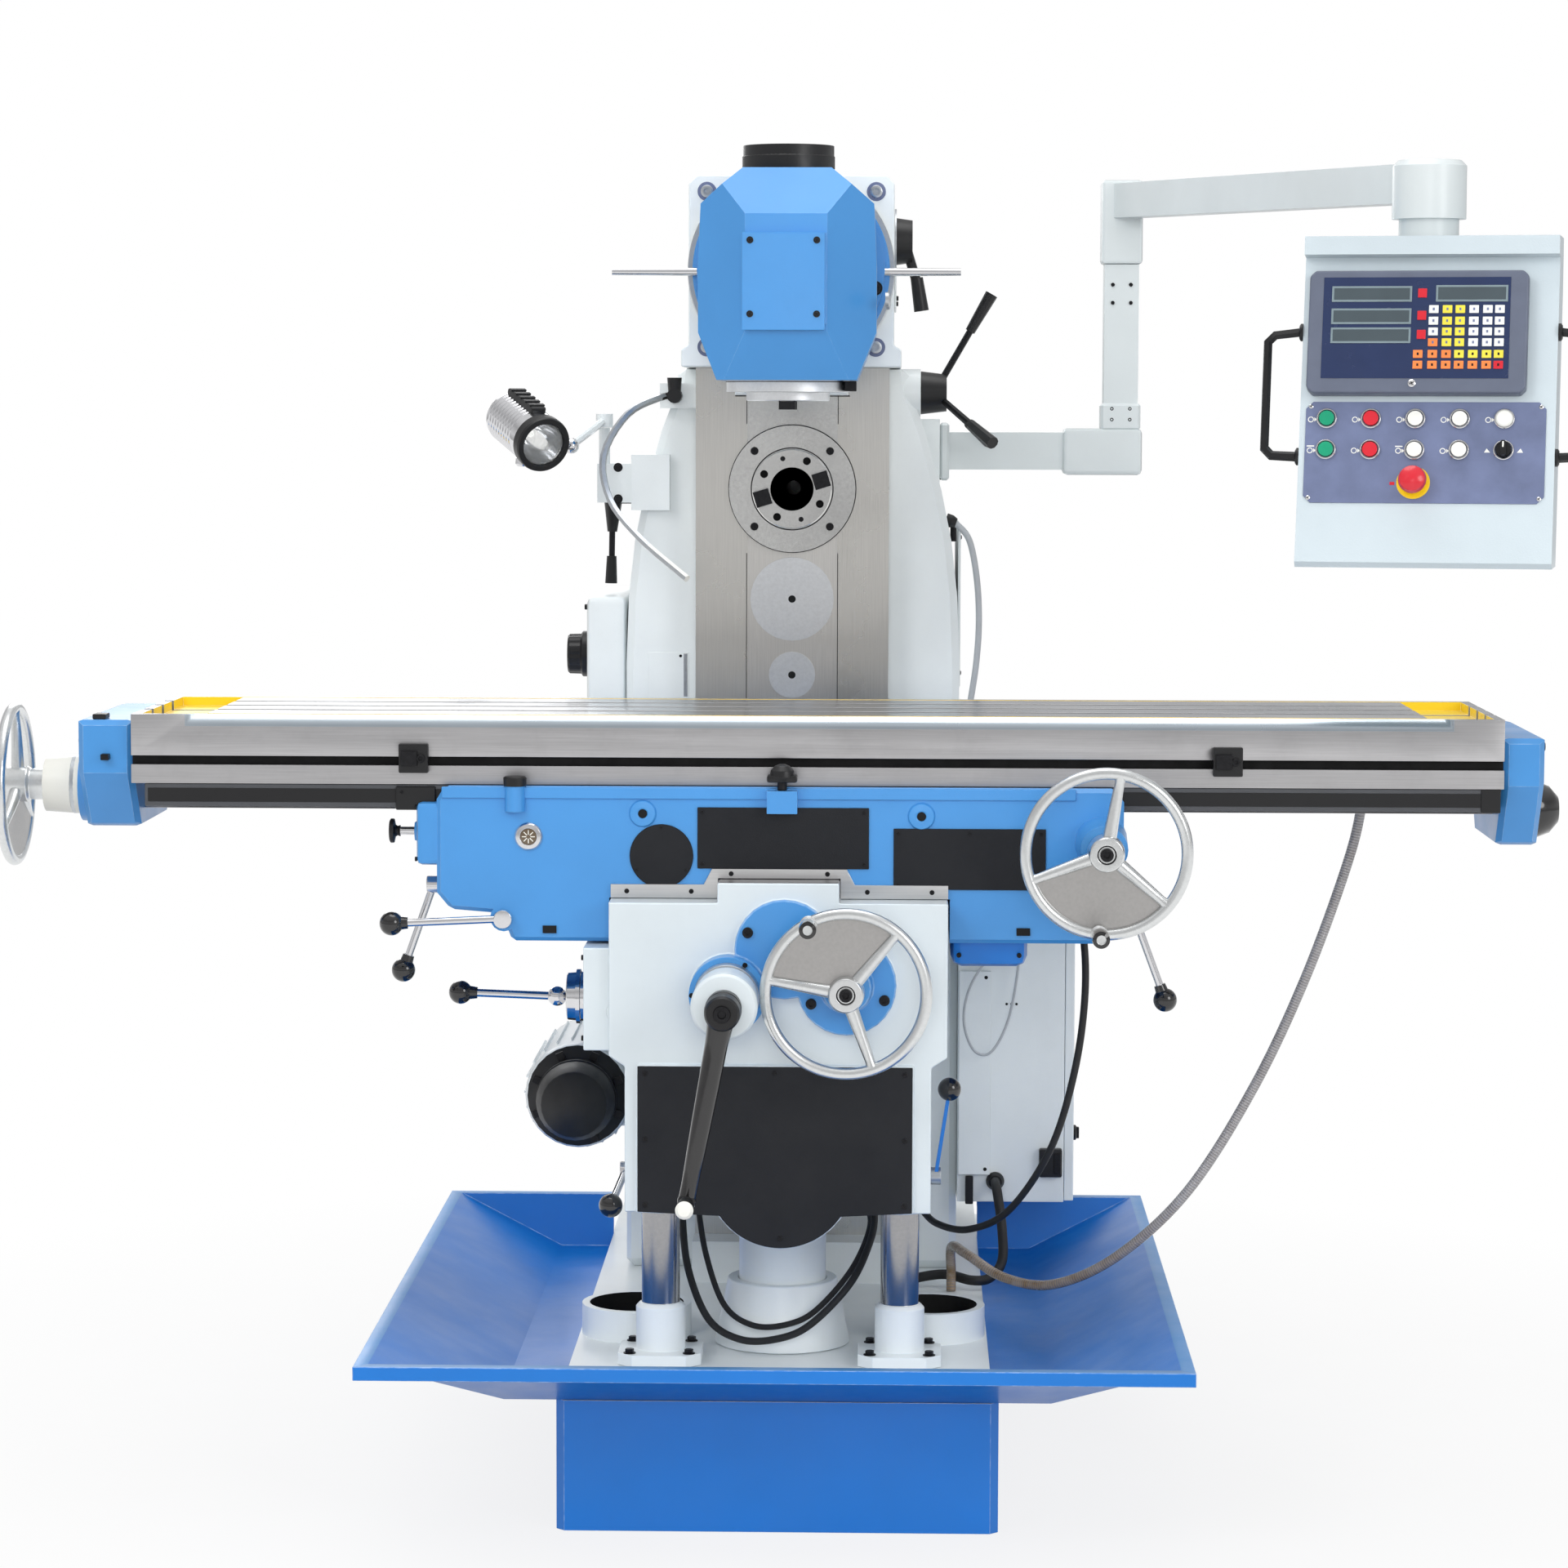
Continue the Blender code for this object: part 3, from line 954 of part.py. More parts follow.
def pendant_box():
    place = pendant_place()
    side = [(-0.050, 0.0), (0.078, 0.0), (0.082, -0.026), FACE_TOP, FACE_FOOT, (0.176, -0.458),
            (0.168, -0.466), (0.045, -0.466), (-0.050, -0.070)]
    half = PENDANT_WIDTH / 2
    # The outline's first axis runs out towards the operator.
    outline = [(-f, z) for f, z in side]
    body = plate(outline, "X", PENDANT_OFFSET - half, PENDANT_OFFSET + half, place)
    inside = [(-f, z) for f, z in ((-0.044, -0.008), (0.052, -0.008), (0.052, -0.036), (0.148, -0.405),
                                   (0.160, -0.458), (0.050, -0.458), (-0.044, -0.072))]
    steps = [("cut", plate(inside, "X", PENDANT_OFFSET - half + 0.004, PENDANT_OFFSET + half - 0.004, place)),
             ("cut", plate([(0.03, -0.10), (0.03, -0.16), (0.09, -0.16), (0.09, -0.10)], "X",
                           PENDANT_OFFSET - 0.03, PENDANT_OFFSET + 0.03, place))]
    for s in (-1, 1):
        rim = half - 0.003
        route = [(rim, 0.078, -0.135), (half + 0.040, 0.080, -0.140), (half + 0.050, 0.083, -0.150),
                 (half + 0.050, 0.118, -0.300), (half + 0.040, 0.121, -0.310), (rim, 0.122, -0.312)]
        points = [place @ Vector((PENDANT_OFFSET + s * x, -f, z)) for x, f, z in route]
        steps.append(("add", tube(points, 0.007, 1)))
    for i, x in enumerate(COLUMNS):
        if i < 4:
            steps.append(("cut", face_bar(x, ROW_ONE, -0.030, 0.01, 0.0116)))
        steps.append(("cut", face_bar(x, ROW_TWO, -0.030, 0.01, 0.0116)))
    steps.append(("cut", face_bar(COLUMNS[2], ROW_STOP, -0.030, 0.01, 0.0116)))
    steps.append(("add", bar(Vector(PENDANT_PIVOT) + Vector((0, 0, -0.012)),
                             Vector(PENDANT_PIVOT) + Vector((0, 0, 0.0)), 0.043, segments=20)))
    piece("pendant_box", body, PALE, steps, origin=PENDANT_PIVOT)
    # Readout console, flat on the upper face
    x0, x1, z0, z1 = -0.1695, 0.1375, -0.0545, -0.227
    turn = place @ Matrix.Translation((PENDANT_OFFSET, -FACE_TOP[0], FACE_TOP[1])) @ Matrix.Rotation(
        -FACE_TILT, 4, "X")
    slope = math.cos(FACE_TILT)
    low = (z1 - FACE_TOP[1]) / slope
    high = (z0 - FACE_TOP[1]) / slope
    console = plate(chamfered(x0, x1, low, high, 0.008), "Y", -0.024, -GAP, turn)
    piece("dro_console", console, PALE)


BUTTONS = (("push_button_start_1", 0, ROW_ONE, GREEN), ("push_button_stop_1", 1, ROW_ONE, RED),
           ("push_button_jog_1", 2, ROW_ONE, WHITE), ("push_button_jog_2", 3, ROW_ONE, WHITE),
           ("push_button_start_2", 0, ROW_TWO, GREEN), ("push_button_stop_2", 1, ROW_TWO, RED),
           ("push_button_jog_3", 2, ROW_TWO, WHITE), ("push_button_jog_4", 3, ROW_TWO, WHITE))


def pendant_controls():
    for name, i, row, mat in BUTTONS:
        cap = face_bar(COLUMNS[i], row, -0.014, 0.0085, BUTTON_RADIUS)
        piece(name, cap, mat, origin=face_point(COLUMNS[i], row))
    knob = face_bar(COLUMNS[4], ROW_TWO, -0.014, 0.008, BUTTON_RADIUS)
    turn_grip = face_bar(COLUMNS[4], ROW_TWO, 0.006, 0.010, 0.0108, 0.0105)
    grip = plate(chamfered(-0.0038, 0.0038, -0.0105, 0.0105, 0.002), "Z", 0.008, 0.021,
                 Matrix.Translation(face_point(COLUMNS[4], ROW_TWO)) @ face_turn())
    piece("selector_switch", knob, BLACK, [("add", turn_grip), ("add", grip)],
          origin=face_point(COLUMNS[4], ROW_TWO))
    stem = face_bar(COLUMNS[2], ROW_STOP, -0.014, 0.020, BUTTON_RADIUS)
    head_cap = turned([(0, 0.036), (0.012, 0.0345), (0.018, 0.030), (ESTOP_RADIUS, 0.023),
                       (0.019, 0.016), (0, 0.016)], face_point(COLUMNS[2], ROW_STOP), face_out(), 24)
    piece("emergency_stop", stem, RED, [("add", head_cap)], origin=face_point(COLUMNS[2], ROW_STOP))


def face_out():
    return face_point(0, -0.2, 1.0) - face_point(0, -0.2, 0.0)


def face_turn():
    return face_out().to_track_quat("Z", "Y").to_matrix().to_4x4()


# ---------------------------------------------------------------- hoses and cables

DRAIN_HOSE = [(0.879, -0.400, 1.0860), (0.879, -0.400, 1.030), (0.858, -0.40, 0.940), (0.797, -0.41, 0.770),
              (0.720, -0.41, 0.600), (0.620, -0.42, 0.440), (0.515, -0.38, 0.330), (0.420, -0.33, 0.275),
              (0.345, -0.27, 0.272), (0.285, -0.22, 0.300), (0.262, -0.16, 0.300), (0.262, -0.12, 0.2505),
              (0.262, -0.12, 0.2210)]
SADDLE_CONDUIT = [(0.425, -0.470, 1.0042), (0.425, -0.470, 0.950), (0.450, -0.51, 0.860), (0.455, -0.53, 0.760),
                  (0.440, -0.53, 0.640), (0.405, -0.52, 0.520), (0.345, -0.48, 0.420), (0.285, -0.42, 0.378),
                  (0.235, -0.34, 0.372), (0.205, -0.26, 0.385), (0.185, -0.20, 0.360), (0.180, -0.17, 0.290),
                  (0.180, -0.17, 0.2210)]
KNEE_HOSE = [(-0.150, -0.560, 0.4710), (-0.150, -0.560, 0.425), (-0.140, -0.580, 0.345), (-0.108, -0.610, 0.275),
             (-0.060, -0.635, 0.250), (-0.005, -0.640, 0.252), (0.045, -0.630, 0.272), (0.105, -0.600, 0.330),
             (0.135, -0.560, 0.390), (0.140, -0.540, 0.430), (0.140, -0.540, 0.4710)]
MOTOR_CABLE = [(0.335, 0.0190, 0.375), (0.335, -0.012, 0.375), (0.338, -0.035, 0.362), (0.345, -0.055, 0.310),
               (0.345, -0.078, 0.262), (0.325, -0.10, 0.238), (0.295, -0.112, 0.236), (0.255, -0.085, 0.240),
               (0.215, -0.087, 0.236), (0.190, -0.090, 0.2290)]


def cords():
    cord("coolant_drain_hose", DRAIN_HOSE, 0.0078, CLEAR_HOSE, 4)
    cord("saddle_conduit", SADDLE_CONDUIT, 0.0055, RUBBER, 4)
    cord("knee_hose", KNEE_HOSE, 0.0055, RUBBER, 4)
    cord("motor_cable", MOTOR_CABLE, 0.0080, RUBBER, 4)


base()
chip_tray()
column()
main_motor()
horizontal_spindle()
speed_change_box()
gear_shift_lever()
ram_capstan()
ram()
head()
knee()
elevating_screw()
guide_posts()
feed_motor()
feed_joystick()
knee_crank()
post_clamps()
saddle()
saddle_levers()
table()
all_handwheels()
lamp()
gooseneck()
cabinet()
pendant_support()
pendant_arm()
pendant_box()
pendant_controls()
cords()
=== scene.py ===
"""Looks of the knee-type milling machine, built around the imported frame."""

import json
import math

import bmesh
import bpy
from mathutils import Matrix, Vector, noise


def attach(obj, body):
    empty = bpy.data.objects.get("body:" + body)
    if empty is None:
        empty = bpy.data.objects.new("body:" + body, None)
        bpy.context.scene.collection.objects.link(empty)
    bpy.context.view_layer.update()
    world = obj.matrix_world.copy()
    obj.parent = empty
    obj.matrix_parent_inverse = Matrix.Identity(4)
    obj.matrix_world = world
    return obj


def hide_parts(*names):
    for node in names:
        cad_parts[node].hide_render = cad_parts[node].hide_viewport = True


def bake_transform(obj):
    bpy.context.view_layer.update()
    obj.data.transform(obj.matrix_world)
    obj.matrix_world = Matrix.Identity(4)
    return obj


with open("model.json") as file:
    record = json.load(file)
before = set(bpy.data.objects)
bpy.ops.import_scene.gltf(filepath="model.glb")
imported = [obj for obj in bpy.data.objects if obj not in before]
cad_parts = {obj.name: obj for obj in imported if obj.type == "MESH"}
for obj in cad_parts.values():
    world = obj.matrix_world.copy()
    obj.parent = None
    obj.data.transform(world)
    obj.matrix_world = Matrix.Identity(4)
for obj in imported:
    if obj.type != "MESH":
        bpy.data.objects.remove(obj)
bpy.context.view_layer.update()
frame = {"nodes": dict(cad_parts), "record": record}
BODY_OF = {n: b for b, nodes in frame["record"]["behaviour"]["bodies"].items() for n in nodes}
SCENE = bpy.context.scene
V = Vector
FRONT, BACK, LEFT, RIGHT, UP, DOWN = (0, -1, 0), (0, 1, 0), (-1, 0, 0), (1, 0, 0), (0, 0, 1), (0, 0, -1)
SPINDLE_Z = 1.506   # height of the horizontal spindle's axis, in metres
SWIVEL_Z = 1.852    # height of the axis on which the vertical head tilts


# ---------------------------------------------------------------- camera
def aim_camera():
    data = bpy.data.cameras.new("camera")
    data.lens, data.sensor_width, data.clip_end = 99.6, 36.0, 100.0
    cam = bpy.data.objects.new("camera", data)
    SCENE.collection.objects.link(cam)
    cam.location = (0.1634, -7.0142, 1.635)
    yaw, pitch, roll = math.radians(1.434), math.radians(4.947), math.radians(0.15)
    cam.matrix_world = (Matrix.Translation(cam.location) @ Matrix.Rotation(yaw, 4, "Z")
                        @ Matrix.Rotation(math.pi / 2 - pitch, 4, "X") @ Matrix.Rotation(roll, 4, "Z"))
    SCENE.camera = cam


aim_camera()


# ---------------------------------------------------------------- material kit
def nodes_of(name):
    m = bpy.data.materials.new(name)
    m.use_nodes = True
    t = m.node_tree
    return m, t, t.nodes["Principled BSDF"]


def put(t, kind, **sockets):
    n = t.nodes.new(kind)
    for k, v in sockets.items():
        if k in ("attribute_name", "operation"):
            setattr(n, k, v)
        else:
            n.inputs[k.replace("_", " ")].default_value = v
    return n


def spread(t, source, low, high, a=0.3, b=0.7):
    """A number from 0 to 1 carried to the range low to high."""
    n = put(t, "ShaderNodeMapRange")
    for k, v in zip(("From Min", "From Max", "To Min", "To Max"), (a, b, low, high)):
        n.inputs[k].default_value = v
    t.links.new(source, n.inputs["Value"])
    return n.outputs["Result"]


def mixed(t, factor, a, b):
    n = t.nodes.new("ShaderNodeMix")
    n.data_type = "RGBA"
    for sock, v in ((n.inputs[0], factor), (n.inputs[6], a), (n.inputs[7], b)):
        if isinstance(v, (tuple, list)):
            sock.default_value = (*v, 1.0)
        elif isinstance(v, (int, float)):
            sock.default_value = v
        else:
            t.links.new(v, sock)
    return n.outputs[2]


def grain(t, scale, detail=3.0, stretch=(1, 1, 1), rough=0.55):
    where = t.nodes.new("ShaderNodeTexCoord")
    bend = t.nodes.new("ShaderNodeMapping")
    bend.inputs["Scale"].default_value = stretch
    n = t.nodes.new("ShaderNodeTexNoise")
    n.inputs["Scale"].default_value = scale
    n.inputs["Detail"].default_value = detail
    n.inputs["Roughness"].default_value = rough
    t.links.new(where.outputs["Object"], bend.inputs["Vector"])
    t.links.new(bend.outputs["Vector"], n.inputs["Vector"])
    return n.outputs["Fac"]


def bumped(t, shader, height, strength, depth, under=None):
    n = t.nodes.new("ShaderNodeBump")
    n.inputs["Strength"].default_value = strength
    n.inputs["Distance"].default_value = depth
    t.links.new(height, n.inputs["Height"])
    if under is not None:
        t.links.new(under, n.inputs["Normal"])
    t.links.new(n.outputs["Normal"], shader.inputs["Normal"])
    return n.outputs["Normal"]


def tone(rgb, k):
    return tuple(min(1.0, c * k) for c in rgb)


def lin(r, g, b):
    """sRGB bytes as linear light."""
    return tuple(((c / 255 + 0.055) / 1.055) ** 2.4 if c > 10 else c / 255 / 12.92 for c in (r, g, b))


def enamel(name, rgb, rough=0.34, peel=0.10, cast=0.10, spots=0.06, coat=0.35):
    """Sprayed enamel over a casting: orange peel, soft waviness, patchy gloss, paler rounded edges (rubbed wear with a
    painted edge highlight), fine dust.
    """
    m, t, s = nodes_of(name)
    s.inputs["Coat Weight"].default_value = coat
    s.inputs["Coat Roughness"].default_value = 0.16
    patch = grain(t, 3.5, 5)
    colour = mixed(t, spread(t, patch, 0, 1), tone(rgb, 0.93), tone(rgb, 1.05))
    speck = grain(t, 520, 1)
    colour = mixed(t, spread(t, speck, 0, spots, 0.66, 0.74), colour, tone(rgb, 0.45))
    smear = grain(t, 16, 6, (1, 1, 0.35), 0.7)
    colour = mixed(t, spread(t, smear, 0, spots, 0.56, 0.72), colour, tone(rgb, 0.6))
    edge = put(t, "ShaderNodeAttribute", attribute_name="edge")
    chip = spread(t, grain(t, 60, 4), 0.25, 0.8, 0.42, 0.62)
    both = put(t, "ShaderNodeMath", operation="MULTIPLY")
    t.links.new(edge.outputs["Fac"], both.inputs[0])
    t.links.new(chip, both.inputs[1])
    # rounded edges go paler and bluer: rubbed wear together with a painted highlight along the edge
    pale = tuple(c * 0.62 + 0.38 * k for c, k in zip(rgb, (0.72, 0.82, 0.9)))
    t.links.new(mixed(t, both.outputs[0], colour, pale), s.inputs["Base Color"])
    t.links.new(spread(t, grain(t, 9, 4), rough - 0.05, rough + 0.09), s.inputs["Roughness"])
    wave = bumped(t, s, grain(t, 14, 2), cast, 0.004)
    bumped(t, s, grain(t, 420, 1), peel, 0.0006, wave)
    return m


def steel(name, rgb, rough=0.24, stretch=(1, 60, 60), scale=9, depth=0.10, patches=0.10, metal=1.0, mottle=0.0):
    """Ground or brushed metal: fine lines along one way, patchy shine."""
    m, t, s = nodes_of(name)
    s.inputs["Metallic"].default_value = metal
    lines = grain(t, scale, 5, stretch, 0.65)
    colour = mixed(t, spread(t, lines, 0, 1), tone(rgb, 1 - patches), tone(rgb, 1 + patches))
    if mottle:
        colour = mixed(t, spread(t, grain(t, 34, 5), 0, mottle, 0.5, 0.72), colour, tone(rgb, 0.62))
    t.links.new(colour, s.inputs["Base Color"])
    a = spread(t, grain(t, 5, 4), rough - 0.04, rough + 0.10)
    t.links.new(a, s.inputs["Roughness"])
    bumped(t, s, lines, depth, 0.0005)
    return m


def plastic(name, rgb, rough=0.42, tex=260, depth=0.08, variety=0.06, coat=0.0):
    m, t, s = nodes_of(name)
    if coat:
        s.inputs["Coat Weight"].default_value = coat
        s.inputs["Coat Roughness"].default_value = 0.08
    colour = mixed(t, spread(t, grain(t, 22, 4), 0, 1), tone(rgb, 1 - variety), tone(rgb, 1 + variety))
    t.links.new(colour, s.inputs["Base Color"])
    t.links.new(spread(t, grain(t, 40, 3), rough - 0.05, rough + 0.07), s.inputs["Roughness"])
    bumped(t, s, grain(t, tex, 2), depth, 0.0005)
    return m


def glow(name, rgb, strength):
    m, t, s = nodes_of(name)
    t.links.new(mixed(t, spread(t, grain(t, 90, 2), 0, 1), tone(rgb, 0.9), rgb), s.inputs["Base Color"])
    s.inputs["Emission Color"].default_value = (*rgb, 1)
    s.inputs["Emission Strength"].default_value = strength
    s.inputs["Roughness"].default_value = 0.2
    return m


BLUE = enamel("blue_enamel", lin(66, 142, 208), cast=0.16, coat=0.22)
DEEP = enamel("deep_blue_enamel", lin(0, 114, 202), rough=0.34, cast=0.12, spots=0.04, coat=0.12)
PALE = enamel("pale_enamel", lin(233, 239, 240), rough=0.36, cast=0.14, spots=0.05)
# painted shade: the pale enamel toned down for the knee and its crank, which stand nearest the lamps
SHADED_PALE = enamel("pale_enamel_painted_shade", lin(210, 219, 223), rough=0.38, cast=0.14, spots=0.05)
CREAM = enamel("warm_white_enamel", lin(226, 224, 214), rough=0.36, spots=0.05)
PANEL_WHITE = enamel("panel_white_powder", lin(196, 208, 214), rough=0.42, peel=0.22, cast=0.03, spots=0.03)
YELLOW = enamel("yellow_enamel", lin(238, 205, 30), rough=0.38, spots=0.12)
WAY = steel("way_steel", lin(222, 220, 215), 0.26, (70, 1, 1.2), 8, 0.05, 0.06, mottle=0.03)
STRIP = steel("strip_steel", lin(226, 224, 220), 0.30, (60, 1, 1.5), 9, 0.05, 0.07, mottle=0.04)
TABLE = steel("table_steel", lin(152, 155, 159), 0.20, (1, 55, 55), 7, 0.10, 0.08, mottle=0.12)
SIDE = steel("side_steel", lin(194, 193, 194), 0.34, (1, 40, 60), 9, 0.14, 0.08, mottle=0.14)
TURNED = steel("turned_steel", lin(202, 202, 200), 0.22, (90, 90, 90), 2.2, 0.10, 0.08)
POST = steel("post_steel", lin(160, 160, 162), 0.16, (60, 60, 60), 3, 0.04, 0.05)
CHROME = steel("chrome", lin(222, 222, 224), 0.09, (30, 30, 30), 3, 0.02, 0.03)
ALLOY = steel("cast_alloy", lin(224, 226, 226), 0.26, (60, 60, 60), 3, 0.10, 0.05)
SATIN = steel("satin_alloy", lin(196, 200, 204), 0.36, (60, 60, 60), 3, 0.12, 0.06)
OXIDE = steel("black_oxide", lin(44, 44, 46), 0.40, (60, 60, 60), 3, 0.10, 0.2, metal=0.85)
SOOT = enamel("black_crackle", lin(10, 13, 20), rough=0.62, peel=0.25, cast=0.04, spots=0.0, coat=0.0)
BLACK = plastic("black_plastic", lin(15, 15, 17), 0.40)
GLOSS = plastic("black_phenolic", lin(20, 19, 20), 0.14, depth=0.03, coat=0.7)
RUBBER = plastic("black_rubber", lin(26, 26, 27), 0.55, 180, 0.12)
# near black: painted shade in holes, recesses, gaps and on undersides; also the printed dial marks
SHADE_AND_MARK_BLACK = plastic("painted_shade_and_mark_black", lin(12, 12, 13), 0.8)
GREY = plastic("grey_panel", lin(104, 114, 146), 0.40, 600, 0.10, 0.14)
FRAME = plastic("grey_console", lin(94, 101, 118), 0.38, 420, 0.12)
RED = plastic("red_cap", lin(206, 26, 44), 0.30, coat=0.4)
GREEN = plastic("green_cap", lin(0, 150, 110), 0.30, coat=0.4)
WHITE = plastic("white_cap", lin(232, 232, 226), 0.32, coat=0.4)
AMBER = plastic("yellow_ring", lin(236, 196, 20), 0.35, coat=0.3)
CABLE = plastic("grey_cable", lin(178, 182, 186), 0.45)
IRON = plastic("scale_cover", lin(70, 72, 76), 0.42, 300, 0.08)
NOSE = steel("nose_steel", lin(224, 224, 222), 0.20, (80, 80, 80), 2.4, 0.08, 0.06)
DISC = steel("disc_steel", lin(236, 238, 240), 0.40, (40, 40, 40), 5, 0.12, 0.05)
# painted shade: taper bores drawn in near-black steel for the shade inside them
SHADED_BORE = steel("taper_bore_painted_shade", lin(46, 46, 50), 0.12, (60, 60, 60), 3, 0.05, 0.10)
WIPER = steel("wiper_steel", lin(222, 222, 222), 0.30, (1, 50, 50), 6, 0.10, 0.06)
# machined chamfer steel, painted lighter and bluer for the bright reflection along the table's front edge
CHAMFER_REFLECTION = steel("chamfer_painted_reflection", lin(188, 198, 206), 0.26, (1, 60, 60), 7, 0.08, 0.05)
WEB = steel("wheel_web", lin(184, 182, 180), 0.36, (40, 40, 40), 5, 0.12, 0.05)
ARM = enamel("arm_enamel", lin(210, 217, 218), rough=0.38, cast=0.05, spots=0.02)
SCREEN = plastic("readout_face", lin(28, 44, 82), 0.22, 600, 0.03, coat=0.4)
EDGE = plastic("readout_frame", lin(120, 136, 142), 0.35)
GLASSY = plastic("readout_glass", lin(66, 78, 84), 0.12, coat=0.6)
KEY_WHITE = plastic("key_white", lin(226, 228, 226), 0.4)
KEY_YELLOW = plastic("key_yellow", lin(232, 214, 70), 0.4)
KEY_ORANGE = plastic("key_orange", lin(238, 130, 66), 0.4)
OILED = plastic("sight_oil", lin(96, 80, 60), 0.12, coat=0.8)
LIT = glow("lamp_bulb", (1.0, 0.98, 0.94), 1.2)


def hose_skin():
    m, t, s = nodes_of("clear_hose")
    w = t.nodes.new("ShaderNodeTexCoord")
    height = t.nodes.new("ShaderNodeSeparateXYZ")
    t.links.new(w.outputs["Object"], height.inputs[0])
    wet = spread(t, height.outputs["Z"], 1.0, 0.0, 0.24, 0.42)
    colour = mixed(t, wet, lin(176, 172, 172), lin(156, 120, 60))
    ribs = put(t, "ShaderNodeAttribute", attribute_name="rib")
    colour = mixed(t, spread(t, ribs.outputs["Fac"], 0, 0.75, 0.3, 0.9), colour, lin(98, 92, 92))
    t.links.new(mixed(t, spread(t, grain(t, 50, 4), 0, 0.3), colour, lin(220, 220, 222)), s.inputs["Base Color"])
    t.links.new(spread(t, grain(t, 30, 3), 0.14, 0.30), s.inputs["Roughness"])
    s.inputs["Transmission Weight"].default_value = 0.25
    s.inputs["Coat Weight"].default_value = 0.5
    s.inputs["Coat Roughness"].default_value = 0.1
    bumped(t, s, ribs.outputs["Fac"], 0.5, 0.0008)
    return m


HOSE = hose_skin()


def lens_glass():
    m, t, s = nodes_of("lamp_glass")
    t.links.new(mixed(t, spread(t, grain(t, 300, 2), 0, 1), lin(225, 228, 228), lin(245, 246, 246)),
                s.inputs["Base Color"])
    s.inputs["Transmission Weight"].default_value = 0.85
    s.inputs["Roughness"].default_value = 0.04
    s.inputs["IOR"].default_value = 1.45
    return m


GLASS = lens_glass()


# ---------------------------------------------------------------- shape kit
def settle(obj, bevel=0.0, segments=3, angle=32, sharp=38, weighted=True):
    """Rounds the edges, marks which faces are rounding, and sets clean shading."""
    if bevel:
        b = obj.modifiers.new("round", "BEVEL")
        b.width, b.segments, b.limit_method = bevel, segments, "ANGLE"
        b.angle_limit = math.radians(angle)
        b.material = 1
        b.use_clamp_overlap = True
        b.miter_outer = "MITER_ARC"
    if weighted:
        w = obj.modifiers.new("shade", "WEIGHTED_NORMAL")
        w.keep_sharp, w.weight = True, 60
    bpy.context.view_layer.update()
    mesh = obj.data
    for p in mesh.polygons:
        p.use_smooth = True
    if not bevel:
        mesh.set_sharp_from_angle(angle=math.radians(sharp))
    done = bpy.data.meshes.new_from_object(obj.evaluated_get(bpy.context.evaluated_depsgraph_get()))
    obj.modifiers.clear()
    obj.data = done
    return obj


def cad(node, mat, bevel=0.003, zones=None, angle=32, segments=3, name=None):
    """A rounded, shaded copy of a CAD node that stands for it.

    zones gives a material for a face's centre and normal."""
    source = frame["nodes"][node]
    bm = bmesh.new()
    bm.from_mesh(source.data)
    bmesh.ops.remove_doubles(bm, verts=bm.verts, dist=0.00002)
    bmesh.ops.dissolve_limit(bm, angle_limit=math.radians(0.6), verts=bm.verts, edges=bm.edges)
    bmesh.ops.recalc_face_normals(bm, faces=bm.faces)
    mesh = bpy.data.meshes.new(node + "_shape")
    bm.to_mesh(mesh)
    bm.free()
    obj = bpy.data.objects.new(name or node + "_shape", mesh)
    SCENE.collection.objects.link(obj)
    mesh.materials.append(mat)
    mesh.materials.append(mat)
    for p in mesh.polygons:
        p.material_index = 0
    settle(obj, bevel, segments, angle)
    mesh = obj.data
    attr = mesh.attributes.get("edge") or mesh.attributes.new("edge", "FLOAT", "CORNER")
    mats = [mat]
    for p in mesh.polygons:
        # bevel faces are marked for the paler edge colour: rubbed wear and a painted edge highlight
        wear_and_highlight = 1.0 if p.material_index == 1 else 0.0
        for i in p.loop_indices:
            attr.data[i].value = wear_and_highlight
        pick = zones(p.center, p.normal) if zones else None
        pick = pick or mat
        if pick not in mats:
            mats.append(pick)
        p.material_index = mats.index(pick)
    kept = [p.material_index for p in mesh.polygons]
    mesh.materials.clear()
    for m in mats:
        mesh.materials.append(m)
    for p, i in zip(mesh.polygons, kept):
        p.material_index = i
    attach(obj, BODY_OF[node])
    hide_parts(node)
    return obj


def fillet(profile, radius, steps=3):
    """The polyline with its corners rounded, ends kept."""
    out = [V((*profile[0], 0))]
    for a, b, c in zip(profile, profile[1:], profile[2:]):
        a, b, c = V((*a, 0)), V((*b, 0)), V((*c, 0))
        r = min(radius, (a - b).length * 0.45, (c - b).length * 0.45)
        if r < 1e-5 or abs((a - b).normalized().dot((c - b).normalized())) > 0.999:
            out.append(b)
            continue
        p, q = b + (a - b).normalized() * r, b + (c - b).normalized() * r
        for i in range(steps + 1):
            u = i / steps
            out.append((1 - u) ** 2 * p + 2 * u * (1 - u) * b + u * u * q)
    out.append(V((*profile[-1], 0)))
    return [(v.x, v.y) for v in out]


def facing(direction, up="Y"):
    return V(direction).to_track_quat("Z", up).to_matrix().to_4x4()


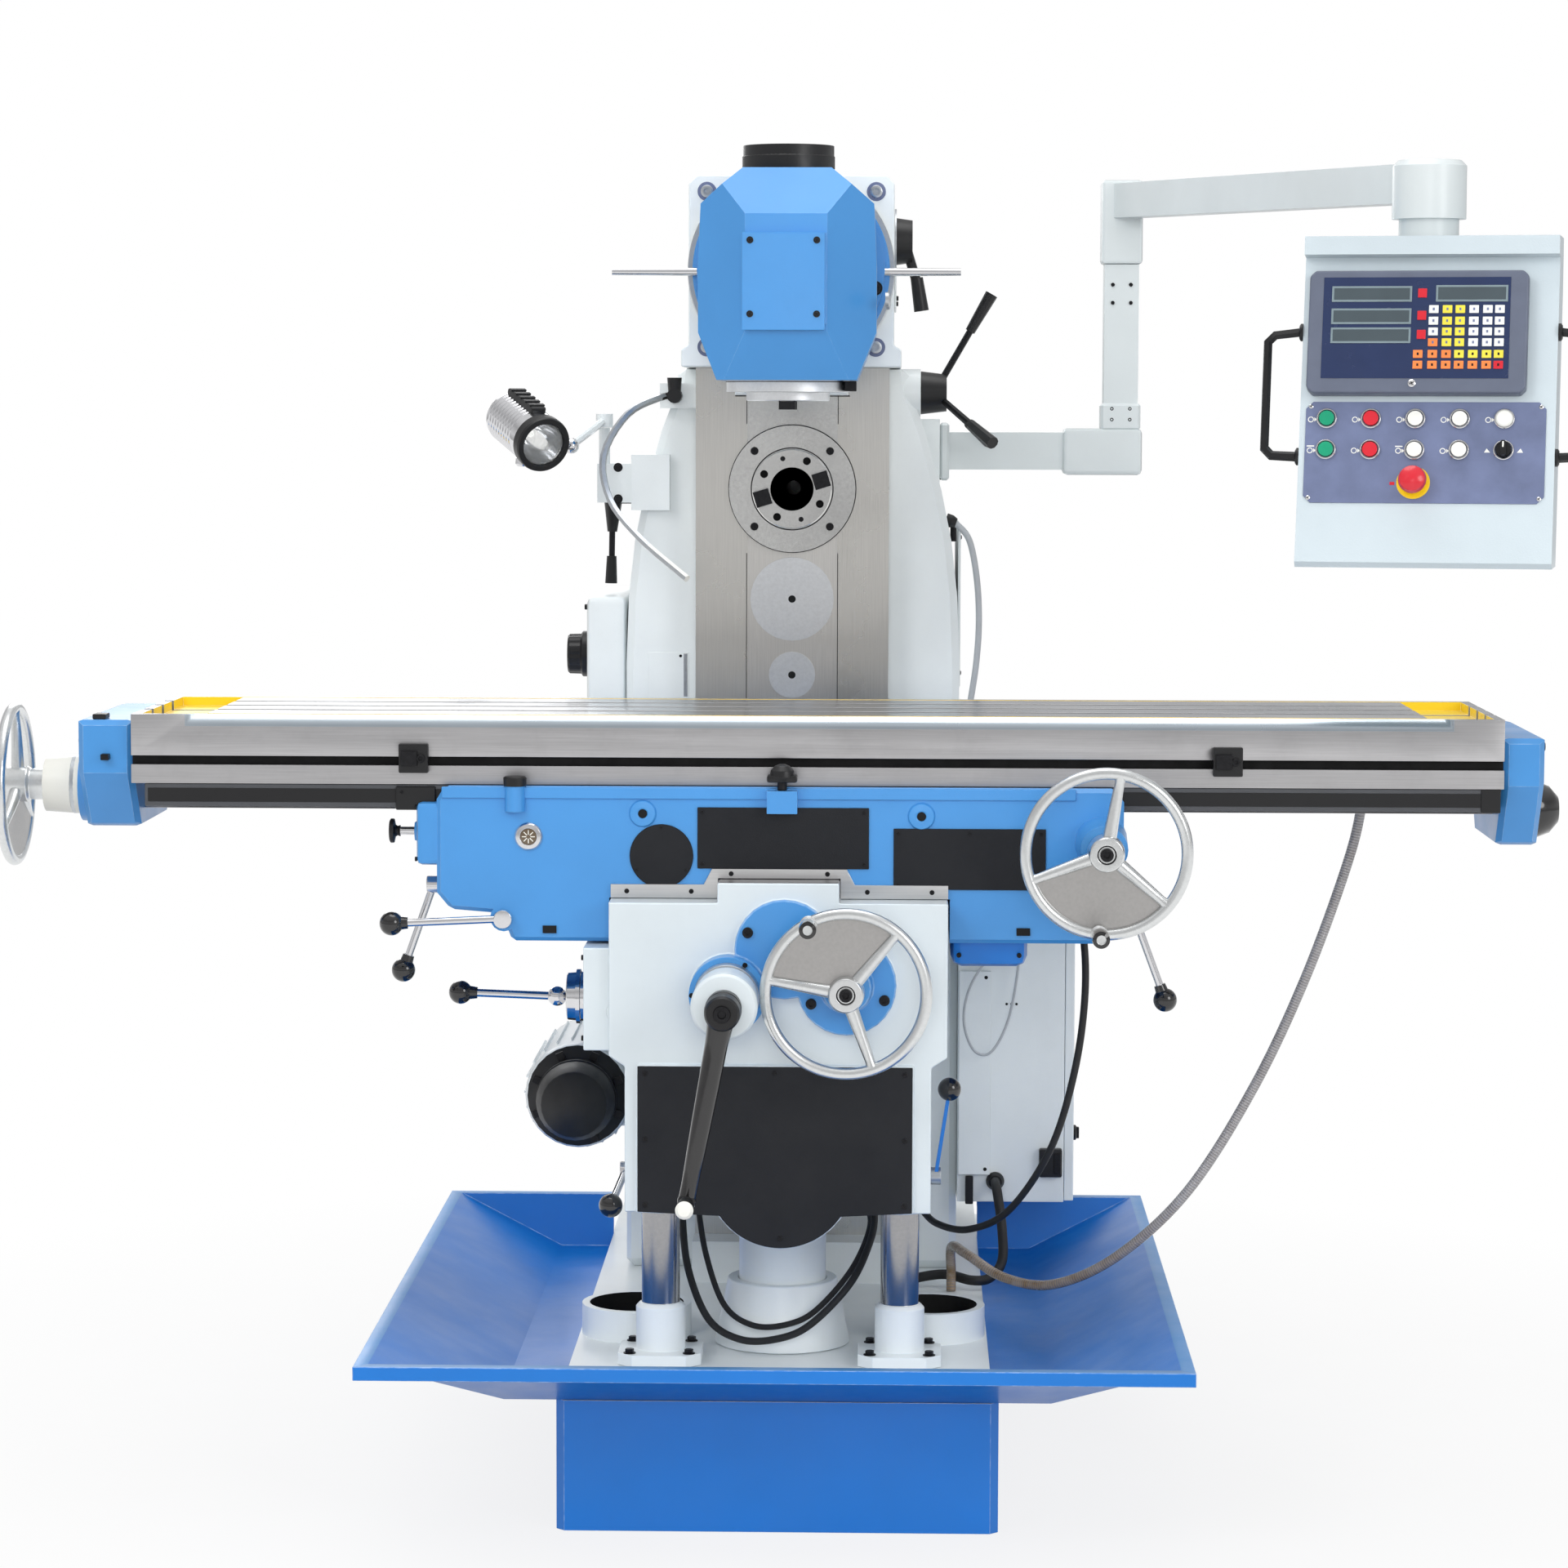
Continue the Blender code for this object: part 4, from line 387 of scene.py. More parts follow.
class Build:
    """Gathers shapes into one mesh, each with its material."""

    def __init__(self, place=None):
        self.bm, self.mats, self.place = bmesh.new(), [], place or Matrix.Identity(4)

    def take(self, bm, mat, place=None):
        if mat not in self.mats:
            self.mats.append(mat)
        index = self.mats.index(mat)
        move = self.place @ (place or Matrix.Identity(4))
        bmesh.ops.recalc_face_normals(bm, faces=bm.faces)
        made = {v: self.bm.verts.new(move @ v.co) for v in bm.verts}
        flip = move.determinant() < 0
        for f in bm.faces:
            corners = [made[v] for v in f.verts]
            try:
                face = self.bm.faces.new(corners[::-1] if flip else corners)
                face.material_index = index
            except ValueError:
                pass
        bm.free()
        return self

    def box(self, low, high, mat, bevel=0.001, place=None, segments=2):
        bm = bmesh.new()
        low, high = V(low), V(high)
        bmesh.ops.create_cube(bm, size=1.0)
        size = high - low
        bmesh.ops.transform(bm, verts=bm.verts, matrix=Matrix.Translation((low + high) / 2)
                            @ Matrix.Diagonal((*size, 1)))
        if bevel:
            bmesh.ops.bevel(bm, geom=list(bm.edges), offset=min(bevel, min(abs(c) for c in size) * 0.45),
                            segments=segments, profile=0.5, affect="EDGES")
        return self.take(bm, mat, place)

    def lathe(self, profile, foot, direction, mat, segments=64, soft=0.0, turn=0.0, bumps=None):
        """A shape turned from (radius, height) points."""
        bm = bmesh.new()
        if soft:
            profile = fillet(profile, soft)
        rings = []
        for r, h in profile:
            if r < 1e-6:
                rings.append([bm.verts.new((0, 0, h))])
            else:
                ring = []
                for i in range(segments):
                    a = 2 * math.pi * i / segments + turn
                    k = r * (bumps(a, h) if bumps else 1)
                    ring.append(bm.verts.new((k * math.cos(a), k * math.sin(a), h)))
                rings.append(ring)
        for lower, upper in zip(rings, rings[1:]):
            for i in range(segments):
                j = (i + 1) % segments
                corners = [lower[i % len(lower)], lower[j % len(lower)], upper[j % len(upper)], upper[i % len(upper)]]
                unique = list(dict.fromkeys(corners))
                if len(unique) > 2:
                    bm.faces.new(unique)
        return self.take(bm, mat, Matrix.Translation(foot) @ facing(direction))

    def bar(self, a, b, r, mat, r2=None, segments=32, soft=0.0008):
        a, b = V(a), V(b)
        n = (b - a).length
        e = r if r2 is None else r2
        return self.lathe([(0, 0), (r, 0), (e, n), (0, n)], a, b - a, mat, segments, min(soft, r * 0.4, e * 0.4))

    def ball(self, at, r, mat, segments=32):
        profile = [(r * math.sin(math.pi * i / 16), -r * math.cos(math.pi * i / 16)) for i in range(17)]
        return self.lathe(profile, at, UP, mat, segments)

    def slab(self, outline, axis, low, high, mat, bevel=0.001, place=None, segments=2):
        """An outline of (y, z), (x, z) or (x, y) points thickened along X, Y or Z."""
        at = {"X": lambda u, v, w: (w, u, v), "Y": lambda u, v, w: (u, w, v), "Z": lambda u, v, w: (u, v, w)}[axis]
        bm = bmesh.new()
        a = [bm.verts.new(at(u, v, low)) for u, v in outline]
        b = [bm.verts.new(at(u, v, high)) for u, v in outline]
        bm.faces.new(a)
        bm.faces.new(b[::-1])
        for i in range(len(a)):
            j = (i + 1) % len(a)
            bm.faces.new([a[j], a[i], b[i], b[j]])
        bmesh.ops.recalc_face_normals(bm, faces=bm.faces)
        if bevel:
            hard = [e for e in bm.edges if e.calc_face_angle(0) > math.radians(30)]
            bmesh.ops.bevel(bm, geom=hard, offset=bevel, segments=segments, profile=0.5, affect="EDGES")
        return self.take(bm, mat, place)

    def tube(self, points, r, mat, segments=20):
        """A round tube along points; r may be a number or a list of radii."""
        points = [V(p) for p in points]
        radii = r if isinstance(r, (list, tuple)) else [r] * len(points)
        bm = bmesh.new()
        rings = []
        tangent = (points[1] - points[0]).normalized()
        side = tangent.orthogonal().normalized()
        for i, p in enumerate(points):
            ahead = points[min(i + 1, len(points) - 1)] - points[max(i - 1, 0)]
            new = ahead.normalized()
            side = (tangent.rotation_difference(new) @ side)
            side = (side - side.dot(new) * new).normalized()
            tangent = new
            up = new.cross(side)
            k = radii[i]
            rings.append([bm.verts.new(p + k * (math.cos(2 * math.pi * j / segments) * side
                                                + math.sin(2 * math.pi * j / segments) * up))
                          for j in range(segments)])
        for lower, upper in zip(rings, rings[1:]):
            for j in range(segments):
                m = (j + 1) % segments
                bm.faces.new([lower[j], lower[m], upper[m], upper[j]])
        bm.faces.new(rings[0][::-1])
        bm.faces.new(rings[-1])
        return self.take(bm, mat)

    def round(self, r, h, *rest, **how):
        """A plain cylinder of radius r and height h, turned as lathe does it."""
        return self.lathe([(0, 0), (r, 0), (r, h), (0, h)], *rest, **how)

    def bezel(self, r0, r1, h, *rest, **how):
        """A plain ring between the radii r0 and r1, of height h."""
        return self.lathe([(r0, 0), (r1, 0), (r1, h), (r0, h)], *rest, **how)

    def cap_screw(self, at, normal, r=0.005, mat=None, height=None, turn=0.3):
        """Socket head cap screw: plain turned head, drawn without a knurl, with a hexagon recess."""
        h = height or r * 0.9
        mat = mat or OXIDE
        foot = V(at)
        self.lathe([(0, 0), (r, 0), (r, h * 0.86), (r * 0.88, h), (r * 0.56, h)], foot, normal, mat, 24)
        place = Matrix.Translation(foot) @ facing(normal)
        bm = bmesh.new()
        rim = [bm.verts.new((r * 0.56 * math.cos(turn + i * math.pi / 12), r * 0.56 * math.sin(turn + i * math.pi / 12),
                             h)) for i in range(24)]
        hexa = [bm.verts.new((r * 0.5 * math.cos(turn + i * math.pi / 3), r * 0.5 * math.sin(turn + i * math.pi / 3),
                              h))
                for i in range(6)]
        deep = [bm.verts.new((v.co.x, v.co.y, h * 0.45)) for v in hexa]
        for i in range(24):
            bm.faces.new([rim[i], rim[(i + 1) % 24],
                          hexa[((i + 3) // 4) % 6 if (i + 1) % 4 == 2 else ((i + 2) // 4) % 6]])
        for i in range(6):
            j = (i + 1) % 6
            bm.faces.new([hexa[i], hexa[j], rim[(4 * i + 2) % 24]])
            bm.faces.new([hexa[j], hexa[i], deep[i], deep[j]])
        bm.faces.new(deep)
        return self.take(bm, mat, place)

    def hex_bolt(self, at, normal, r=0.008, mat=None, height=None, turn=0.2, washer=True):
        h = height or r * 0.75
        mat = mat or OXIDE
        if washer:
            self.lathe([(0, 0), (r * 1.35, 0), (r * 1.35, h * 0.2), (0, h * 0.2)], at, normal, mat, 28, 0.0002)
        pts = [(r * math.cos(turn + i * math.pi / 3), r * math.sin(turn + i * math.pi / 3)) for i in range(6)]
        return self.slab(pts, "Z", h * 0.2 * washer, h, mat, min(0.0006, h * 0.2),
                         Matrix.Translation(at) @ facing(normal))

    def pan_screw(self, at, normal, r=0.004, mat=None, height=None, turn=0.4):
        """Low round head with a cross recess drawn as a dark inlay: painted shade in the recess."""
        h = height or r * 0.5
        self.lathe([(0, 0), (r, 0), (r * 0.92, h * 0.5), (r * 0.6, h * 0.9), (0, h)], at, normal, mat or OXIDE, 24)
        place = Matrix.Translation(at) @ facing(normal) @ Matrix.Rotation(turn, 4, "Z")
        self.box((-r * 0.5, -r * 0.1, h * 0.7), (r * 0.5, r * 0.1, h * 1.02), SHADE_AND_MARK_BLACK, 0, place)
        return self.box((-r * 0.1, -r * 0.5, h * 0.7), (r * 0.1, r * 0.5, h * 1.02), SHADE_AND_MARK_BLACK, 0, place)

    def emit(self, name, body, replaces=(), slot=None, sharp=38, weighted=True):
        mesh = bpy.data.meshes.new(name)
        bmesh.ops.remove_doubles(self.bm, verts=self.bm.verts, dist=1e-7)
        self.bm.to_mesh(mesh)
        self.bm.free()
        for m in self.mats:
            mesh.materials.append(m)
        obj = bpy.data.objects.new(name, mesh)
        SCENE.collection.objects.link(obj)
        kept = [p.material_index for p in mesh.polygons]
        settle(obj, 0, sharp=sharp, weighted=weighted)
        for p, i in zip(obj.data.polygons, kept):
            p.material_index = i
        if body:
            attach(obj, body)
        if replaces:
            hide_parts(*replaces)
        return obj


def smooth_route(points, per_span=8):
    points = [V(p) for p in points]
    ends = [2 * points[0] - points[1], *points, 2 * points[-1] - points[-2]]
    route = []
    for i in range(1, len(ends) - 2):
        a, b, c, d = ends[i - 1:i + 3]
        for step in range(per_span):
            t = step / per_span
            route.append(0.5 * (2 * b + (c - a) * t + (2 * a - 5 * b + 4 * c - d) * t * t
                                + (3 * b - a - 3 * c + d) * t ** 3))
    return [*route, points[-1]]


# ---------------------------------------------------------------- hoses and cables
def rib_attribute(obj, path, pitch):
    """Marks the spiral wire of a clear hose on its mesh."""
    mesh = obj.data
    attr = mesh.attributes.new("rib", "FLOAT", "POINT")
    spans = [0.0]
    for a, b in zip(path, path[1:]):
        spans.append(spans[-1] + (b - a).length)
    for v in mesh.vertices:
        i = min(range(len(path)), key=lambda k: (path[k] - v.co).length_squared)
        attr.data[v.index].value = 0.5 + 0.5 * math.sin(2 * math.pi * spans[i] / pitch)


def split_route(points, parts):
    """The route in consecutive stretches that share their end points."""
    n = len(points) - 1
    cuts = [round(n * p) for p in parts]
    return [points[a:b + 1] for a, b in zip([0, *cuts], [*cuts, n])]


def hose(name, route, radius, mat, bodies, cuts=(), pitch=0, per_span=10):
    """A held hose; bodies has a name for a stretch on one body, or a tuple for one that crosses a joint, which is left
    on no body. Heights given in such a tuple, meant for a loop that hangs under a moving body or lies low over the
    tray, are not used."""
    whole = smooth_route(route, per_span)
    if pitch:
        fine = [whole[0]]
        for a, b in zip(whole, whole[1:]):
            n = max(1, round((b - a).length / (pitch / 4)))
            fine += [a.lerp(b, (i + 1) / n) for i in range(n)]
        whole = fine
    made = []
    for i, (points, on) in enumerate(zip(split_route(whole, cuts), bodies)):
        build = Build()
        build.tube(points, radius, mat, 16)
        crossing = isinstance(on, tuple)
        obj = build.emit(f"{name}_{i + 1}" if len(bodies) > 1 else name + "_run", None if crossing else on)
        if pitch:
            rib_attribute(obj, points, pitch)
        if crossing:
            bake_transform(obj)
        made.append(obj)
    return made


DRAIN_HOSE = [(0.879, -0.400, 1.0860), (0.879, -0.400, 1.030), (0.858, -0.40, 0.940), (0.797, -0.41, 0.770),
              (0.720, -0.41, 0.600), (0.620, -0.42, 0.440), (0.515, -0.38, 0.330), (0.420, -0.33, 0.275),
              (0.345, -0.27, 0.272), (0.285, -0.22, 0.300), (0.262, -0.16, 0.300), (0.262, -0.12, 0.2505),
              (0.262, -0.12, 0.2210)]
SADDLE_CONDUIT = [(0.425, -0.470, 1.0042), (0.425, -0.470, 0.950), (0.450, -0.51, 0.860), (0.455, -0.53, 0.760),
                  (0.440, -0.53, 0.640), (0.405, -0.52, 0.520), (0.345, -0.48, 0.420), (0.285, -0.42, 0.378),
                  (0.235, -0.34, 0.372), (0.205, -0.26, 0.385), (0.185, -0.20, 0.360), (0.180, -0.17, 0.290),
                  (0.180, -0.17, 0.2210)]
KNEE_HOSE = [(-0.150, -0.560, 0.4710), (-0.150, -0.560, 0.425), (-0.140, -0.580, 0.345), (-0.108, -0.610, 0.275),
             (-0.060, -0.635, 0.250), (-0.005, -0.640, 0.252), (0.045, -0.630, 0.272), (0.105, -0.600, 0.330),
             (0.135, -0.560, 0.390), (0.140, -0.540, 0.430), (0.140, -0.540, 0.4710)]
MOTOR_CABLE = [(0.335, 0.0190, 0.375), (0.335, -0.012, 0.375), (0.338, -0.035, 0.362), (0.345, -0.055, 0.310),
               (0.345, -0.078, 0.262), (0.325, -0.10, 0.238), (0.295, -0.112, 0.236), (0.255, -0.085, 0.240),
               (0.215, -0.087, 0.236), (0.190, -0.090, 0.2290)]

a = hose("drain_hose", DRAIN_HOSE, 0.0078, HOSE,
         [("table", "saddle"), ("saddle", "knee"), ("knee", "machine", None, 0.285)], (0.3, 0.45), pitch=0.0042)
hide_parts("coolant_drain_hose")
a = hose("saddle_hose", SADDLE_CONDUIT, 0.0055, RUBBER, [("saddle", "knee"), ("knee", "machine", 0.46, 0.23)],
         (0.35,))
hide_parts("saddle_conduit")
a = hose("knee_hose", KNEE_HOSE, 0.0055, RUBBER, [("knee", "machine", 0.445, 0.262)])
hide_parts("knee_hose")



def beside_knee_hose():
    """The second knee hose's route: next to the first, between fittings of its own."""
    last = len(KNEE_HOSE) - 1
    route = []
    for i, (x, y, z) in enumerate(KNEE_HOSE):
        across = -0.128 if i < 2 else x * 0.90 + 0.012 if i < 9 else 0.122
        route.append((across, y + 0.026, z if i in (0, last) else z + 0.016))
    return route


hose("knee_hose_b", beside_knee_hose(), 0.0045, RUBBER, [("knee", "machine", 0.445, 0.262)])
a = hose("motor_lead", MOTOR_CABLE, 0.0080, RUBBER, ["machine"])
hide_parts("motor_cable")


# ---------------------------------------------------------------- stand, column, cabinet
def stage():
    floor = Build()
    m, t, s = nodes_of("floor")
    s.inputs["Roughness"].default_value = 0.6
    light = t.nodes.new("ShaderNodeLightPath")
    either = put(t, "ShaderNodeMath", operation="MAXIMUM")
    t.links.new(light.outputs["Is Camera Ray"], either.inputs[0])
    t.links.new(light.outputs["Is Glossy Ray"], either.inputs[1])
    more = put(t, "ShaderNodeMath", operation="MAXIMUM")
    t.links.new(either.outputs[0], more.inputs[0])
    t.links.new(light.outputs["Is Transmission Ray"], more.inputs[1])
    t.links.new(mixed(t, spread(t, grain(t, 6, 5), 0, 1), (0.62, 0.62, 0.62), (0.66, 0.66, 0.66)),
                s.inputs["Base Color"])
    glowing = t.nodes.new("ShaderNodeEmission")
    mix = t.nodes.new("ShaderNodeMixShader")
    half = put(t, "ShaderNodeMath", operation="MULTIPLY")
    where = t.nodes.new("ShaderNodeTexCoord")
    far = put(t, "ShaderNodeVectorMath", operation="LENGTH")
    t.links.new(where.outputs["Object"], far.inputs[0])
    t.links.new(spread(t, far.outputs["Value"], 0.84, 1.0, 0.9, 2.1), half.inputs[1])
    t.links.new(more.outputs[0], half.inputs[0])
    t.links.new(half.outputs[0], mix.inputs[0])
    t.links.new(s.outputs[0], mix.inputs[1])
    t.links.new(glowing.outputs[0], mix.inputs[2])
    t.links.new(mix.outputs[0], t.nodes["Material Output"].inputs["Surface"])
    floor.box((-30, -12, -0.02), (30, 40, -0.0005), m, 0)
    obj = floor.emit("floor", None)
    world = bpy.data.worlds.new("studio")
    world.use_nodes = True
    SCENE.world = world
    t = world.node_tree
    t.nodes.clear()
    out = t.nodes.new("ShaderNodeOutputWorld")
    light = t.nodes.new("ShaderNodeLightPath")
    seen = put(t, "ShaderNodeMath", operation="MAXIMUM")
    t.links.new(light.outputs["Is Camera Ray"], seen.inputs[0])
    t.links.new(light.outputs["Is Transmission Ray"], seen.inputs[1])
    where = t.nodes.new("ShaderNodeTexCoord")
    split = t.nodes.new("ShaderNodeSeparateXYZ")
    t.links.new(where.outputs["Generated"], split.inputs[0])
    ramp = t.nodes.new("ShaderNodeValToRGB")
    r = ramp.color_ramp
    r.elements[0].position, r.elements[0].color = 0.0, (0.30, 0.31, 0.33, 1)
    r.elements[1].position, r.elements[1].color = 1.0, (1.0, 1.0, 1.0, 1)
    for at, k in ((0.44, 0.42), (0.50, 0.60), (0.58, 0.92), (0.72, 0.55), (0.86, 0.95)):
        e = r.elements.new(at)
        e.color = (k, k, k * 1.01, 1)
    lift = put(t, "ShaderNodeMapRange")
    lift.inputs["From Min"].default_value = -1.0
    t.links.new(split.outputs["Z"], lift.inputs["Value"])
    t.links.new(lift.outputs["Result"], ramp.inputs["Fac"])
    soft = t.nodes.new("ShaderNodeBackground")
    soft.inputs["Strength"].default_value = 0.80
    t.links.new(ramp.outputs["Color"], soft.inputs["Color"])
    white = t.nodes.new("ShaderNodeBackground")
    white.inputs["Color"].default_value = (1, 1, 1, 1)
    mix = t.nodes.new("ShaderNodeMixShader")
    t.links.new(seen.outputs[0], mix.inputs[0])
    t.links.new(soft.outputs[0], mix.inputs[1])
    t.links.new(white.outputs[0], mix.inputs[2])
    t.links.new(mix.outputs[0], out.inputs["Surface"])
    SCENE.view_settings.view_transform = "Standard"
    for name, at, size, power in (("key", (-3.0, -4.8, 4.4), 2.6, 102), ("fill", (3.8, -4.6, 3.0), 2.4, 66),
                                  ("front", (0.2, -6.4, 1.9), 2.0, 86), ("top", (0.0, -0.4, 4.8), 3.0, 50),
                                  ("back", (-1.5, 4.6, 3.2), 3.0, 60)):
        data = bpy.data.lights.new(name, "AREA")
        data.shape, data.size, data.energy = "DISK", size, power
        lamp = bpy.data.objects.new(name, data)
        SCENE.collection.objects.link(lamp)
        lamp.visible_glossy = name not in ("front", "key")
        aim = V((0, -0.2, 1.0)) - V(at)
        lamp.matrix_world = Matrix.Translation(at) @ aim.to_track_quat("-Z", "Y").to_matrix().to_4x4()


stage()


def near(c, x, z, r):
    return (c.x - x) ** 2 + (c.z - z) ** 2 < r * r


def ring_of(count, radius, start=0.0):
    return [(radius * math.cos(math.radians(start + 360 * i / count)),
             radius * math.sin(math.radians(start + 360 * i / count))) for i in range(count)]


def column_zone(c, n):
    if c.y < 0.031 and near(c, 0, SPINDLE_Z, 0.1035):
        return NOSE
    if c.y < 0.0036 and (near(c, 0, 1.328, 0.0676) or near(c, 0, 1.205, 0.0376)):
        return DISC
    if c.y < 0.0575 and abs(c.x) < 0.157 and c.z < 1.71:
        return STRIP if abs(c.x) < 0.0735 else WAY
    return None


def spindle_zone(c, n):
    u, w = 0.95630 * c.x + 0.29237 * (c.z - SPINDLE_Z), 0.95630 * (c.z - SPINDLE_Z) - 0.29237 * c.x
    if c.y < -0.0262 and abs(w) < 0.0129 and 0.036 < abs(u) < 0.0625:
        return OXIDE
    # painted shade: the taper bore and the four threaded holes are coloured dark for the shade inside them
    if near(c, 0, SPINDLE_Z, 0.0351) and c.y > -0.0255:
        return SHADED_BORE
    for a in (17, 197):
        for d in (-45, 45):
            x, z = 0.0508 * math.cos(math.radians(a + d)), 0.0508 * math.sin(math.radians(a + d))
            if near(c, x, SPINDLE_Z + z, 0.0068) and c.y > -0.0258:
                return SHADE_AND_MARK_BLACK
    return None


def nose_zone(c, n):
    if c.z < 1.6462 and abs(c.x) < 0.0129 and 0.036 < abs(c.y + 0.30) < 0.0625:
        return OXIDE
    # painted shade: the taper bore is coloured dark for the shade inside it
    return SHADED_BORE if c.z > 1.647 and c.x ** 2 + (c.y + 0.30) ** 2 < 0.0351 ** 2 else None


def base_zone(c, n):
    """Painted shade, near black, inside the two coolant wells and on undersides; pale paint on the top and its lip."""
    in_well = (abs(c.x) - 0.225) ** 2 + (c.y + 0.45) ** 2 < 0.0726 ** 2 and c.z < 0.2675
    if in_well or (0.01 < c.z < 0.2 and n.z < -0.2):
        return SHADE_AND_MARK_BLACK
    return PALE if c.z > 0.1955 or (c.z > 0.1905 and n.z > 0.5) else None


def stand():
    cad("base", DEEP, 0.0025, base_zone)
    # upward faces high on the chip tray take the lighter blue: a painted highlight on its top
    cad("chip_tray", DEEP, 0.0012, lambda c, n: BLUE if c.z > 0.2835 and n.z > 0.9 else None)
    cad("column", PALE, 0.0012, column_zone)
    cad("electrical_cabinet", PALE, 0.003)
    cad("cabinet_door", PALE, 0.002)
    cad("speed_change_box", PALE, 0.006)
    cad("horizontal_spindle", NOSE, 0.0006, spindle_zone)
    cad("main_motor", BLUE, 0.003)
    cad("screw_tube", PALE, 0.0015)
    cad("screw_housing", PALE, 0.003)
    cad("elevating_screw", TURNED, 0.0006)
    for side in ("left", "right"):
        cad("guide_post_" + side, POST, 0.0015, lambda c, n: PALE if c.z < 0.3085 else None)
        b = Build()
        for x in (-0.044, 0.044):
            for y in (-0.044, 0.044):
                b.hex_bolt(((-0.178 if side == "left" else 0.178) + x, -0.64 + y, 0.2386), UP, 0.0068, OXIDE, 0.007)
        b.emit("post_foot_bolts_" + side, "machine", slot="black_plastic")


def column_details():
    b = Build()
    for x, z in ring_of(4, 0.086, 45):
        b.cap_screw((x, -0.0046, SPINDLE_Z + z), FRONT, 0.0062, OXIDE, 0.005)
    for x, z in ring_of(2, 0.0508, 107):
        b.cap_screw((x, -0.0262, SPINDLE_Z + z), FRONT, 0.0040, OXIDE, 0.0014)
    b.bezel(0.1018, 0.1034, 0.0012, (0, 0.0001, SPINDLE_Z), FRONT, OXIDE, 96)
    b.lathe([(0.0650, 0), (0.0668, 0), (0.0668, 0.0008), (0.0650, 0.0008), (0.0650, 0)], (0, -0.0121, SPINDLE_Z),
            FRONT, OXIDE, 96)
    # painted shade: thin dark discs for the centre holes of the two discs
    for z in (1.328, 1.205):
        b.lathe([(0, 0), (0.0060, 0), (0.0056, 0.0005), (0, 0.0005)], (0, 0.0014, z), FRONT, SHADE_AND_MARK_BLACK, 32)
    for x in (-0.0736, 0.0736):
        b.box((x - 0.0006, -0.0005, 1.06), (x + 0.0006, 0.0003, 1.402), OXIDE, 0)
        b.box((x - 0.0006, -0.0005, 1.610), (x + 0.0006, 0.0003, 1.69), OXIDE, 0)
    b.box((-0.236, 0.0548, 1.160), (-0.169, 0.0575, 1.238), PALE, 0.0012)
    b.box((-0.178, 0.0535, 1.166), (-0.172, 0.0550, 1.236), SATIN, 0.0004)
    b.pan_screw((-0.183, 0.0548, 1.232), FRONT, 0.0024)
    for z in (1.206, 1.418):
        b.round(0.0052, 0.030, (0.262, 0.130, z), UP, OXIDE, 20, 0.0006)
    b.box((0.2700, 0.140, 1.178), (0.2745, 0.520, 1.446), PALE, 0.0015)
    for y, z in ((0.160, 1.200), (0.160, 1.424), (0.500, 1.200), (0.500, 1.424)):
        b.pan_screw((0.2745, y, z), RIGHT, 0.0040)
    # rear and sides: cover plates and the oil level glass
    b.box((-0.20, 0.6485, 1.20), (0.20, 0.6535, 1.62), PALE, 0.002)
    for x in (-0.185, 0, 0.185):
        for z in (1.215, 1.605):
            b.cap_screw((x, 0.6535, z), BACK, 0.005)
    b.box((-0.18, 0.6485, 0.34), (0.18, 0.6535, 0.80), PALE, 0.002)
    for x in (-0.165, 0.165):
        for z in (0.355, 0.57, 0.785):
            b.cap_screw((x, 0.6535, z), BACK, 0.005)
    b.box((-0.2765, 0.20, 0.40), (-0.2715, 0.52, 0.86), PALE, 0.002)
    for y in (0.215, 0.36, 0.505):
        for z in (0.415, 0.845):
            b.cap_screw((-0.2765, y, z), LEFT, 0.0045)
    b.lathe([(0, 0), (0.021, 0), (0.021, 0.004), (0.0155, 0.006)], (-0.2718, 0.50, 1.40), LEFT, SATIN, 40)
    b.lathe([(0, 0), (0.0155, 0), (0.0145, 0.0015), (0, 0.0022)], (-0.2762, 0.50, 1.40), LEFT, GLASS, 40)
    # lamp bracket and arm-boss bolts
    for z in (1.488, 1.539):
        b.hex_bolt((-0.284, 0.0398, z), FRONT, 0.0055, OXIDE)
    for y in (0.262, 0.338):
        for z in (1.523, 1.605):
            b.cap_screw((0.2403, y, z - 0.0015), RIGHT, 0.0045)
    # terminal box screws and cooling fins of the main motor
    for x in (-0.05, 0.05):
        for y in (0.75, 0.85):
            b.pan_screw((x, y, 1.195), UP, 0.0035)
    for i in range(28):
        a = 2 * math.pi * i / 28
        if 0.28 < (a / (2 * math.pi) + 0.25) % 1 < 0.30:
            continue
        turn = Matrix.Translation((0, 0.0, 1.02)) @ Matrix.Rotation(a, 4, "Y")
        if not 1.15 < a < 2.0 and not 4.1 < a < 5.2:
            b.box((0.128, 0.690, -0.0016), (0.1385, 0.905, 0.0016), BLUE, 0.0006, turn)
    for i in range(7):
        b.bezel(0.018 + 0.012 * i, 0.023 + 0.012 * i, 0.0016,
                (0, 1.0100, 1.02), BACK, OXIDE, 48)
    b.emit("column_fittings", "machine", slot="ground_steel")
